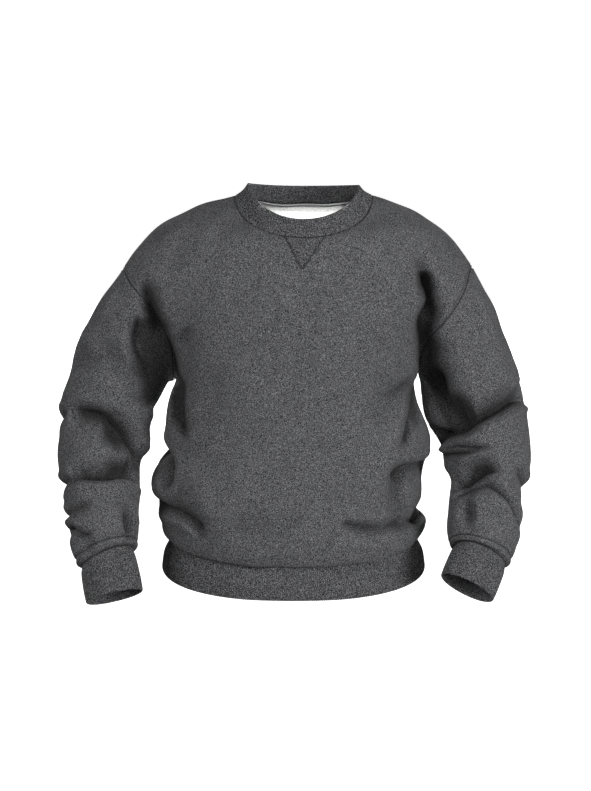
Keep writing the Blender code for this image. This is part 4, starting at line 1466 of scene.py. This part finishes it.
class Hem:
    """The sizes of the hem and the roll of the body over it."""

    TUCK = 18.0
    HEIGHT = 69.0
    TOP_SIDE, TOP_FRONT = -510.0, -524.0
    FRONT_SHARE = 1.5  # how far forward the rib lies lowest, as a share of the neck's depth
    FLARE = ((0.0, 0.0), (0.35, 3.0), (0.7, 14.0), (1.0, 17.0))
    FIRST_SIDE, FIRST_MORE = 12.0, 24.0  # how far it first hangs down, and how much more in the middle
    LAST_SIDE, LAST_MORE, LAST_OUT = 8.0, 28.0, 11.0  # how far it turns up, and stands out

    @classmethod
    def rib_top(cls, start: Pair) -> Pair:
        """The rib's upper edge.

        Args:
            start: the line that the roll starts from, and its normals.

        Returns:
            The edge's points, and the level way out from each.
        """
        points, normals = start
        level_way = unit(normals * [1, 1, 0])
        share = np.clip(-points[:, 1:2] / Pattern.NECK_FRONT, 0, cls.FRONT_SHARE) / cls.FRONT_SHARE
        top = points - level_way * cls.TUCK
        top[:, 2:] = cls.TOP_SIDE + (cls.TOP_FRONT - cls.TOP_SIDE) * share
        return top, level_way

    @classmethod
    def roll(cls, cloth: Cloth, start: Pair) -> Pair:
        """The body's lower edge, which blouses over the rib and turns up under it.

        Args:
            cloth: the surface.
            start: the line that the roll starts from, and its normals.

        Returns:
            The roll's rows and their normals.
        """
        points, normals = start
        end, level_way = cls.rib_top(start)
        section = cloth.torso(np.full(len(points), Pattern.HEM_START))
        deep = np.where(points[:, 1] < 0, section[:, 2], section[:, 3])
        share = np.clip(np.abs(points[:, 1]) / deep, 0, 1)[:, None]
        first = cls.FIRST_SIDE + cls.FIRST_MORE * share
        last = end + level_way * cls.LAST_OUT - UP * (cls.LAST_SIDE + cls.LAST_MORE * share)
        return swept(start, downward(normals), first, last, end, ROLL_STEPS)


class Panel(FleecePiece):
    """The front or the back of the body."""

    ROUNDS = 40  # how often the coarse grid is evened out
    UNFOLDED = (0.4, 0.95)  # over which part of the roll the folds run out

    def __init__(self, face: str, pattern: Pattern, folds: Folds) -> None:
        """Builds the panel's points.

        Args:
            face: front or back.
            pattern: the seam lines.
            folds: the folds to lay in.
        """
        super().__init__(face + "_panel_cloth", face + "_panel", "fleece")
        self.face, self.pattern = face, pattern
        self.rows = rows = fine_positions(ARMHOLE + SIDE)
        self.columns = columns = fine_positions(ACROSS, True)
        points = refined(refined(self.coarse_grid(), rows, 0), columns, 1)
        normals = grid_normals(points, False, points * [1, 1, 0])
        for edge, axis, at_end, positions in (
            (self.side_edge("right"), 1, False, columns),
            (self.side_edge("left"), 1, True, columns),
            (self.top_edge(), 0, False, rows),
            (on_ring(pattern.hem, face, columns), 0, True, rows),
        ):
            points = pinned(points, edge, axis, at_end, positions)
            normals = pinned(normals, pattern.cloth.normals(edge), axis, at_end, positions)
        normals = unit(normals)
        self.hem_line = points[-1], normals[-1]
        roll, roll_normals = Hem.roll(pattern.cloth, self.hem_line)
        points = np.vstack([points, roll[1:]])
        normals = np.vstack([normals, roll_normals[1:]])
        moves = folds.body(points, normals)
        folded = 1 - eased(*self.UNFOLDED, np.linspace(0, 1, ROLL_STEPS))
        moves[-ROLL_STEPS:] *= folded[:, None, None]
        points = points + moves
        over, down = lengths_along(points, 1), lengths_along(points, 0)
        beside = np.append(rows < ARMHOLE, np.zeros(ROLL_STEPS, bool))[:, None]
        below = (columns > SHOULDER) & (columns < ACROSS - SHOULDER)
        sink = sum(
            humps(away, SEAM_DIP) + stitched * humps(away, STITCH_DIP)
            for away, stitched in ((over, beside), (over[:, -1:] - over, beside), (down, below))
        )
        self.finish(points, normals, moves, sink, False)

    def coarse_grid(self) -> Array:
        """The solid's points before its folds.

        Returns:
            A grid spread evenly over the surface between the panel's seams.
        """
        lines, face, cloth = self.pattern.lines, self.face, self.pattern.cloth
        top = [lines["shoulder_right"], lines["neck_" + face][1:-1], lines["shoulder_left"][::-1]]
        armhole = f"armhole_{face}_"
        sides = [np.vstack([lines[armhole + side], lines["side_" + side][1:]]) for side in SIDES]
        grid = coons(np.vstack(top), lines["hem_" + face], *sides)
        for _ in range(self.ROUNDS):
            inner = (grid[:-2, 1:-1] + grid[2:, 1:-1] + grid[1:-1, :-2] + grid[1:-1, 2:]) / 4
            grid[1:-1, 1:-1] = cloth.settled((inner + grid[1:-1, 1:-1]) / 2, 1)
        grid[1:-1, 1:-1] = cloth.settled(grid[1:-1, 1:-1])
        return grid

    def beside_armhole(self, side: str, away: float) -> Pair:
        """A line on the cloth beside one armhole.

        Args:
            side: the wearer's right or left.
            away: how far it runs from the seam.

        Returns:
            Its points and their normals.
        """
        upper = slice(1, int(np.searchsorted(self.rows, ARMHOLE)))
        half = slice(NEAR_ARMHOLE) if side == "right" else slice(-1, -NEAR_ARMHOLE - 1, -1)
        points, normals = self.points[upper, half], self.normals[upper, half]
        return inset(points, away), inset(normals, away, points)

    def below_neck(self, grid: Array) -> Array:
        """The part of a grid that lies below the neck seam, with its rows running down."""
        first, last = np.searchsorted(self.columns, (SHOULDER, ACROSS - SHOULDER))
        return grid[:NEAR_SEAM, first : last + 1].swapaxes(0, 1)

    def neck_line(self, away: float) -> Pair:
        """A line on the cloth that far below the neck seam, and the normals there."""
        points, normals = self.below_neck(self.points), self.below_neck(self.normals)
        return inset(points, away), inset(normals, away, points)

    def side_edge(self, side: str) -> Array:
        """The armhole and side seam at the fine rows.

        Args:
            side: the wearer's right or left.

        Returns:
            One point for each row.
        """
        rows, sign = self.rows, -1 if self.face == "front" else 1
        ring = (ARMHOLE + sign * rows[rows <= ARMHOLE]) % ROUND
        upper = refined(self.pattern.armholes[side], ring, closed=True)
        lower = refined(self.pattern.lines["side_" + side], rows[rows > ARMHOLE] - ARMHOLE)
        return np.vstack([upper, lower])

    def top_edge(self) -> Array:
        """The shoulder seams and the neck at the fine columns.

        Returns:
            One point for each column.
        """
        columns, lines, last = self.columns, self.pattern.lines, ACROSS - SHOULDER
        middle = columns[(columns >= SHOULDER) & (columns <= last)] - SHOULDER
        first = refined(lines["shoulder_right"], columns[columns < SHOULDER])
        final = refined(lines["shoulder_left"], ACROSS - columns[columns > last])
        return np.vstack([first, on_ring(self.pattern.neck, self.face, middle), final])


class Sleeve(FleecePiece):
    """One sleeve; its first row lies in the armhole and its last at the cuff."""

    FADE = 42.0  # over how many mm the body's folds run out into the sleeve
    ROLL_START, ROLL_OUT, ROLL_UP = 9.0, 6.0, 1.0  # how the roll over the cuff leaves and ends

    def __init__(self, side: str, pattern: Pattern, folds: Folds) -> None:
        """Builds the sleeve's points.

        Args:
            side: the wearer's right or left.
            pattern: the seam lines.
            folds: the folds to lay in.
        """
        super().__init__(f"sleeve_{side}_cloth", "sleeve_" + side, "fleece")
        cloth, arm = pattern.cloth, pattern.cloth.arms[side]
        half = fine_positions(ARMHOLE)
        columns = np.concatenate([ARMHOLE - half[::-1], ARMHOLE + half[1:-1]])
        rows = fine_positions(CAP + TUBE)
        coarse = self.coarse_grid(side, pattern)
        points = refined(refined(coarse, rows, 0), columns, 1, closed=True)
        normals = grid_normals(points, True, points - points.mean(axis=1, keepdims=True))
        normals = unit(pinned(normals, cloth.normals(points[0]), 0, False, rows))
        fade = eased(0, self.FADE, lengths_along(points, 0))[..., None]
        moves = folds.at(points, normals, **{"all": 1.0, side: fade, "body": 1 - fade})
        points = points + moves
        way = arm.tangent(arm.last)
        end = CuffBand.seam(side, columns * 2 * math.pi / ROUND)
        last = end + normals[-1] * self.ROLL_OUT - way * self.ROLL_UP
        start = points[-1], normals[-1]
        roll, roll_normals = swept(start, way[None], self.ROLL_START, last, end, ROLL_STEPS)
        points = np.vstack([points, roll[1:]])
        normals = np.vstack([normals, roll_normals[1:]])
        along = lengths_along(points, 0)
        sink = humps(along, SEAM_DIP) + humps(along[-1:] - along, CUFF_DIP)
        self.finish(points, normals, moves, sink, True)

    @staticmethod
    def coarse_grid(side: str, pattern: Pattern) -> Array:
        """The solid's points before its folds.

        Args:
            side: the wearer's right or left.
            pattern: the seam lines.

        Returns:
            A grid whose column 0 is the underarm.
        """
        cloth, arm = pattern.cloth, pattern.cloth.arms[side]
        loop = pattern.armholes[side]
        angles = np.arange(ROUND) * 2 * math.pi / ROUND
        cap_key = float(np.interp(CAP_DROP - GAPS[side].z, -arm.spine[:, 2], arm.keys))
        keys = np.linspace(cap_key, arm.last, TUBE + 1)
        rings = [cloth.settled(arm.at(key, angles))[None] for key in keys]
        v = np.linspace(0, 1, CAP + 1)[:, None, None]
        grid = (1 - v) * loop[None] + v * rings[0]
        for _ in range(Panel.ROUNDS):
            beside = np.roll(grid, 1, 1)[1:-1] + np.roll(grid, -1, 1)[1:-1]
            spread = (grid[:-2] + grid[2:] + beside) / 4
            grid[1:-1] = cloth.settled((spread + grid[1:-1]) / 2, 1)
        grid = cloth.settled(grid)
        grid[0] = loop
        return np.vstack([grid, *rings[1:]])


class Band(Piece):
    """A doubled rib band: a ring with wales on both faces and a fold at its free edge."""

    WALES = 108
    WALE_FORM = (0.0, 0.72, 1.0, 0.72)
    WALE_HEIGHT = 0.9
    FOLD_SHARE, INSIDE_SHARE = 0.85, 0.8  # how much of its height a wale has there
    FADE_ROWS = 3  # over how many rows the wales rise from the seam
    FOLD_ROWS = 6
    ROWS = 18
    SHADE = 0.6  # how dark the painted shade at the bottom between two wales is

    @classmethod
    def spread(cls) -> Array:
        """Where its columns lie round it, from 0 to 1."""
        count = cls.WALES * len(cls.WALE_FORM)
        return np.arange(count) / count

    def build(self, rows: Array, normals: Array, face: Material) -> Object:
        """Makes the band.

        Args:
            rows: the outer surface's rows, from the seam to the free edge.
            normals: their outward normals.
            face: the rib's finish.

        Returns:
            The object.
        """
        half = RIB / 2
        wale = np.resize(self.WALE_FORM, rows.shape[1])[None, :, None] * self.WALE_HEIGHT
        fade = eased(0, self.FADE_ROWS, np.arange(len(rows)))[:, None, None]
        middle = rows - normals * half
        way = unit(rows[-1] - rows[-2])
        middle[-1] -= way * half
        outside = middle + normals * (half + wale * fade)
        inside = (middle - normals * (half + self.INSIDE_SHARE * wale * fade))[::-1]
        turns = np.linspace(0, math.pi, self.FOLD_ROWS + 2)[1:-1, None, None]
        round_way = normals[-1] * np.cos(turns) + way * np.sin(turns)
        fold = middle[-1] + round_way * (half + self.FOLD_SHARE * wale)
        grid = np.vstack([outside, fold, inside])
        # Painted shade between the wales, and the seam row painted fully dark as shade
        between = np.resize(1 - np.array(self.WALE_FORM), grid.shape[1])
        grooves = np.repeat(self.SHADE * between[None], len(grid), axis=0)
        grooves[0] = 1.0
        return self.make(grid, torus_faces(*grid.shape[:2]), face, grooves=grooves)


class HemBand(Band):
    """The hem rib, hung from the rolled edge of the front and back."""

    WALES = 384

    def hang(self, panels: dict[str, Panel], face: Material) -> Object:
        """Makes the hem rib.

        Args:
            panels: front and back.
            face: the rib's finish.

        Returns:
            The object.
        """
        lines = (np.hstack(panel.hem_line) for panel in panels.values())
        line = joined(*lines)
        line = np.vstack([line, line[:1]])
        lengths = lengths_along(line[:, :3])
        line = read(line, lengths, self.spread() * lengths[-1])
        top, level_way = Hem.rib_top((line[:, :3], unit(line[:, 3:])))
        parts = np.linspace(0, 1, self.ROWS)
        rows = top[None] + level_way[None] * curve(Hem.FLARE, parts)[:, None]
        rows[..., 2] -= parts[:, None] * Hem.HEIGHT
        rows[0, :, 2] -= 2 * SEAM
        return self.build(rows, np.repeat(level_way[None], len(rows), axis=0), face)


class CollarBand(Band):
    """The neck rib, from the neck seam up to its folded edge."""

    WALES = 216
    HALF, FRONT, BACK = 84.0, 85.0, 54.0
    RISE_RIGHT, RISE_LEFT, TOP_FRONT, TOP_BACK = 19.0, 16.0, -27.0, 10.5
    CURVE = 1.2
    REACH = 9.0  # how far the band keeps the way it leaves the seam in, and has at its edge
    LEAN_OUT, LEAN_DOWN = 0.5, 0.86  # which way that is at its edge
    DEPTH_SHARE = 0.9  # how much of the way out counts towards the front and back
    UNDER = 1.2  # how deep its first row lies behind the seam
    ROWS = 15

    def stand(self, pattern: Pattern, folds: Folds, face: Material) -> Object:
        """Makes the collar.

        Args:
            pattern: the seam lines.
            folds: the folds, which move the neck seam with the panels.
            face: the rib's finish.

        Returns:
            The object.
        """
        seam = refined(pattern.neck, self.spread() * len(pattern.neck), closed=True)
        normals = pattern.cloth.normals(seam)
        seam = seam + folds.body(seam, normals)
        deep = np.where(seam[:, 1] < 0, Pattern.NECK_FRONT, Pattern.NECK_BACK)
        angles = np.arctan2(seam[:, 1] / deep, seam[:, 0] / Pattern.NECK_HALF)
        cos, sin = np.cos(angles), np.sin(angles)
        deep = np.where(sin < 0, self.FRONT, self.BACK)
        end_height = np.where(sin < 0, self.TOP_FRONT, self.TOP_BACK)
        rise = np.where(cos < 0, self.RISE_RIGHT, self.RISE_LEFT)
        height = rise + (end_height - rise) * np.abs(sin) ** self.CURVE
        top = np.stack([self.HALF * cos, deep * sin, height], axis=1)
        round_way = unit(np.roll(seam, -1, 0) - np.roll(seam, 1, 0))
        up = unit(np.cross(round_way, normals))
        up = np.where(dot(up, top - seam) < 0, -up, up)
        outward = unit(np.stack([cos, sin * self.DEPTH_SHARE, np.zeros(len(cos))], axis=1))
        lean = top + unit(outward * self.LEAN_OUT - UP * self.LEAN_DOWN) * self.REACH
        rows, ways = swept((seam, normals), up, self.REACH, lean, top, self.ROWS)
        rows[0] += unit(rows[1] - rows[0]) * 2 * SEAM - normals * self.UNDER
        return self.build(rows, ways, face)


class CuffBand(Band):
    """One cuff, from the sleeve's end to its mouth."""

    SLANT = {"right": 14.0, "left": 0.0}  # how much lower its seam lies on the outer side
    SWELL = ((0.0, 0.0), (0.3, 2.0), (0.7, 1.5), (1.0, 0.0))

    @classmethod
    def seam(cls, side: str, angles: Array, part: float = 0.0) -> Array:
        """A ring of the cuff.

        Args:
            side: the wearer's right or left.
            angles: where its points lie round the cuff.
            part: 0 at the seam and 1 at the mouth.

        Returns:
            The ring's points.
        """
        tube = Arm(CUFFS[side])
        slant = cls.SLANT[side] * (1 - np.cos(angles)) / 2
        return tube.at(part * tube.last + (1 - part) * slant, angles)

    def fit(self, side: str, face: Material) -> Object:
        """Makes the cuff of one side.

        Args:
            side: the wearer's right or left.
            face: the rib's finish.

        Returns:
            The object.
        """
        parts = np.linspace(0, 1, self.ROWS)
        rows = np.array([self.seam(side, self.spread() * 2 * math.pi, part) for part in parts])
        middle = rows.mean(axis=1, keepdims=True)
        along = unit(middle[-1] - middle[0])
        ways = rows - middle
        ways = unit(ways - dot(ways, along) * along)
        rows = rows + ways * curve(self.SWELL, parts)[:, None]
        return self.build(rows, ways, face)


class NeckTape(Piece):
    """The strip that covers the back neck seam inside."""

    START, HEIGHT, ROWS = 0.4, 8.6, 9
    EDGE, ROUNDING = 0.5, 0.4  # how thick its edges are, as a share, and how fast that grows

    def build(self, back: Panel, face: Material) -> Object:
        """Makes the tape.

        Args:
            back: the panel that it is sewn to.
            face: the tape's finish.

        Returns:
            The object.
        """
        inner = back.below_neck(back.inner)
        ways = unit(back.below_neck(back.points) - inner)
        parts = np.linspace(0, 1, self.ROWS)
        places = self.START + parts * self.HEIGHT
        ways = np.array([unit(inset(ways, place, inner)) for place in places])
        outer = np.array([inset(inner, place) for place in places]) - ways * LAID_ON
        thick = self.EDGE + (1 - self.EDGE) * np.sin(parts * math.pi) ** self.ROUNDING
        return self.make_shell(outer, outer - ways * TAPE * thick[:, None, None], face)


class VInsert(Piece):
    """The triangle of rib under the collar."""

    LEFT, RIGHT = -29.0, 32.0
    TIP, TIP_HALF = (-3.0, -113.0, -99.0), 1.5
    BELOW = 2.6
    LIFT = 0.25  # how far it lies off the cloth
    ROWS, COLUMNS = 44, 96
    EDGE, ROUNDING = 0.35, 1.6  # how thick its edge is, as a share, and how far in that grows
    STITCHES = 2.6  # how far the line of stitches runs from the edge
    STITCH_GROOVE = ((0.5, STITCHES, 0.7),)
    WALES, WALE_HEIGHT, WALES_FROM = 16, 0.16, (3, 5)
    # Painted shade along its slanting edges and its line of stitches: height, distance from the edge,
    # width
    SHADES = ((1.0, 0.0, 1.1), (0.8, STITCHES, 0.8))
    TIP_ROWS = 4  # rows at the tip that no stitches reach

    def __init__(self, pattern: Pattern, folds: Folds) -> None:
        """Lays the insert on the front.

        Args:
            pattern: the seam lines.
            folds: the folds of the body.
        """
        super().__init__("v_insert_rib", "v_insert", "rib")
        cloth, seam = pattern.cloth, pattern.lines["neck_front"]
        part = np.linspace(0, 1, self.COLUMNS + 1)
        edge = cloth.settled(read(seam, seam[:, 0], self.LEFT + (self.RIGHT - self.LEFT) * part))
        edge = edge + downward(cloth.normals(edge)) * self.BELOW
        tip = np.array(self.TIP) + np.array([[self.TIP_HALF, 0, 0]]) * (2 * part[:, None] - 1)
        down = np.linspace(0, 1, self.ROWS + 1)[:, None, None]
        grid = cloth.settled(edge[None] * (1 - down) + tip[None] * down, 10)
        self.normals = cloth.normals(grid)
        self.under = grid + folds.body(grid, self.normals) + self.normals * self.LIFT
        width = lengths_along(self.under, 1)
        slanting = np.minimum(width, width[:, -1:] - width)
        near = np.minimum(slanting, lengths_along(self.under, 0))
        form = self.EDGE + (1 - self.EDGE) * np.clip(near / self.ROUNDING, 0, 1) ** 0.5
        wales = self.WALE_HEIGHT * np.cos(2 * math.pi * self.WALES * part)[None]
        thick = INSERT * form - humps(near, self.STITCH_GROOVE)
        thick = thick + wales * eased(*self.WALES_FROM, near)
        self.points = self.under + self.normals * thick[..., None]
        self.grooves = humps(slanting, self.SHADES)

    def line(self, right: bool) -> Pair:
        """The line of stitches along one slanting edge.

        Args:
            right: whether it is the edge at the wearer's left.

        Returns:
            Its points and the normals there.
        """
        rows, half = slice(1, self.ROWS - self.TIP_ROWS), slice(None, None, -1 if right else 1)
        points, normals = self.points[rows, half], self.normals[rows, half]
        return inset(points, self.STITCHES), inset(normals, self.STITCHES, points)

    def build(self, face: Material) -> Object:
        """Makes the insert."""
        return self.make_shell(self.points, self.under, face, grooves=self.grooves)


class Stitching(Piece):
    """Lines of thread stitches that lie on the cloth."""

    LENGTH, PITCH, RADIUS = 2.1, 3.0, 0.408
    RINGS = ((-0.5, 0.35), (-0.32, 1.0), (0.32, 1.0), (0.5, 0.35))  # part of its length, thickness
    CORNERS = 4
    HIGH, SUNK = 0.12, 0.3  # how high its middle lies, and how much deeper its ends
    AIM = 0.5  # how far on along the line the point lies that it is aimed at

    def build(self, lines: list[Pair], thread: Material) -> Object:
        """Makes one object of all the stitches.

        Args:
            lines: points and normals of each line.
            thread: the thread's finish.

        Returns:
            The object.
        """
        points = np.concatenate([self.stitches(*line) for line in lines])
        count, corners, rings = len(points), self.CORNERS, len(self.RINGS)
        ring = np.arange(corners)
        after = (ring + 1) % corners
        side = np.stack([ring, after, after + corners, ring + corners], 1)
        last = ring + corners * (rings - 1)
        quads = np.vstack([*(side + corners * step for step in range(rings - 1)), ring[::-1], last])
        quads = (quads[None] + corners * rings * np.arange(count)[:, None, None]).reshape(-1, 4)
        return self.make(points, quads, thread)

    def stitches(self, line: Array, normals: Array) -> Array:
        """The stitches along one line.

        Args:
            line: its points.
            normals: their normals.

        Returns:
            The corners of each stitch.
        """
        keys = lengths_along(line)
        wanted = np.arange(self.PITCH, keys[-1] - self.PITCH, self.PITCH)
        centre = read(line, keys, wanted)
        way = unit(read(line, keys, wanted + self.AIM) - centre)
        up = unit(read(normals, keys, wanted))
        side = unit(np.cross(up, way))
        corners = []
        for part, size in self.RINGS:
            middle = centre + way * part * self.LENGTH + up * (self.HIGH - self.SUNK * (1 - size))
            for turn in (np.arange(self.CORNERS) + 0.5) * 2 * math.pi / self.CORNERS:
                away = side * math.cos(turn) + up * math.sin(turn)
                corners.append(middle + away * self.RADIUS * size)
        return np.stack(corners, axis=1)


@dataclass
class Studio:
    """A pale floor and backdrop, soft light and the camera."""

    target: tuple[float, float, float] = (-0.0124, 0.0, -0.3095)
    distance: float = 3.0
    elevation: float = 11.0
    height_seen: float = 1.2260  # metres of the middle plane in view, top to bottom
    floor: float = -0.70
    floor_size: float = 17.0
    backdrop_radius: float = 9.0
    sensor: float = 24.0
    ambient: float = 0.06
    boxes: tuple[tuple[str, tuple[float, float, float], float, float], ...] = (
        # Name, place, size in metres and power in watts
        ("right_box", (-2.35, -2.15, 1.25), 1.3, 42.0),
        ("left_box", (2.3, -2.3, 0.25), 1.3, 67.0),
        ("front", (0.3, -3.4, 0.35), 1.2, 17.0),
        ("behind", (0.1, 3.4, 0.7), 1.8, 95.0),
    )

    def build(self) -> None:
        """Makes the whole studio."""
        self.surfaces()
        self.lights()
        self.camera()

    def surfaces(self) -> None:
        """The floor and the backdrop, which aren't part of the object."""
        bpy.ops.mesh.primitive_plane_add(size=self.floor_size, location=(0, 0, self.floor))
        ground = bpy.context.active_object
        ground.name = "floor"
        ground.data.materials.append(Paper("white_paper_floor", 0.95, 0.9).build())
        bpy.ops.mesh.primitive_uv_sphere_add(
            segments=48, ring_count=24, radius=self.backdrop_radius
        )
        backdrop = bpy.context.active_object
        backdrop.name = "backdrop"
        backdrop.data.materials.append(Paper("lit_backdrop", 1.0, 0.5).build())
        for surface in (ground, backdrop):
            surface.visible_diffuse = surface.visible_glossy = surface.visible_shadow = False

    def lights(self) -> None:
        """Soft lights from both sides, the front and behind, and a narrow one into the neck."""
        world = bpy.data.worlds.new("studio")
        world.use_nodes = True
        background = world.node_tree.nodes["Background"]
        background.inputs["Color"].default_value = (1, 1, 1, 1)
        background.inputs["Strength"].default_value = self.ambient
        bpy.context.scene.world = world
        for name, place, size, power in self.boxes:
            away = np.array(place) - np.array(self.target)
            tilt = math.atan2(math.hypot(away[0], away[1]), away[2])
            turn = (tilt, 0, math.atan2(away[0], -away[1]))
            self.area(name, place, turn, size=size, energy=power)
        beam = {"size": 0.128, "size_y": 0.040, "spread": math.radians(3), "energy": 0.052}
        turn = (math.radians(65), 0, 0)
        self.area("neck", (0.0, -0.403, 0.172), turn, shape="RECTANGLE", **beam)

    @staticmethod
    def area(
        name: str,
        place: tuple[float, float, float],
        turn: tuple[float, float, float],
        **settings: float | str,
    ) -> None:
        """Hangs one area light.

        Args:
            name: its name.
            place: where it hangs.
            turn: which way it faces.
            settings: its size, power and so on.
        """
        data = bpy.data.lights.new(name, "AREA")
        for setting, value in settings.items():
            setattr(data, setting, value)
        lamp = bpy.data.objects.new(name, data)
        lamp.visible_camera = False
        lamp.location, lamp.rotation_euler = place, turn
        bpy.context.scene.collection.objects.link(lamp)

    def camera(self) -> None:
        """The camera, level with the shoulders and looking a little down."""
        tilt = math.radians(self.elevation)
        data = bpy.data.cameras.new("camera")
        data.sensor_fit = "VERTICAL"
        data.sensor_height = self.sensor
        data.lens = self.sensor * self.distance / self.height_seen
        camera = bpy.data.objects.new("camera", data)
        x, y, z = self.target
        y -= self.distance * math.cos(tilt)
        camera.location = (x, y, z + self.distance * math.sin(tilt))
        camera.rotation_euler = (math.pi / 2 - tilt, 0, 0)
        bpy.context.scene.collection.objects.link(camera)
        bpy.context.scene.camera = camera


def main() -> None:
    """Builds each piece in order and reports it."""
    logging.basicConfig(level=logging.INFO, format="%(name)s: %(message)s")
    bpy.ops.object.select_all(action="DESELECT")
    bpy.context.scene.view_settings.view_transform = "Standard"
    Studio().build()
    cloth = Cloth()
    pattern, folds = Pattern(cloth), Folds(cloth)
    face, back, rib = FLEECE_FACE.build(), FLEECE_BACK.build(), RIB_FACE.build()
    panels = {name: Panel(name, pattern, folds) for name in ("front", "back")}
    front, rear = (panel.build(face, back) for panel in panels.values())
    insert = VInsert(pattern, folds)
    seams = [panel.beside_armhole(side, STITCH_LINE) for panel in panels.values() for side in SIDES]
    seams += [panel.neck_line(STITCH_LINE) for panel in panels.values()]
    seams += [insert.line(right) for right in (False, True)]
    stitching = Stitching("seam_stitching").build(seams, THREAD.build())
    laid = [insert.build(INSERT_FACE.build()), stitching]
    tape = NeckTape("neck_tape_jersey", "neck_tape", "tape")
    tape = tape.build(panels["back"], TAPE_FACE.build())
    for side in SIDES:
        sleeve = Sleeve(side, pattern, folds).build(face, back)
        cuff = CuffBand(f"cuff_{side}_rib", "cuff_" + side, "rib").fit(side, rib)
    collar = CollarBand("collar_rib_band", "collar_rib", "rib").stand(pattern, folds, rib)
    hem = HemBand("hem_rib_band", "hem_rib", "rib").hang(panels, rib)


if __name__ == "__main__":
    main()
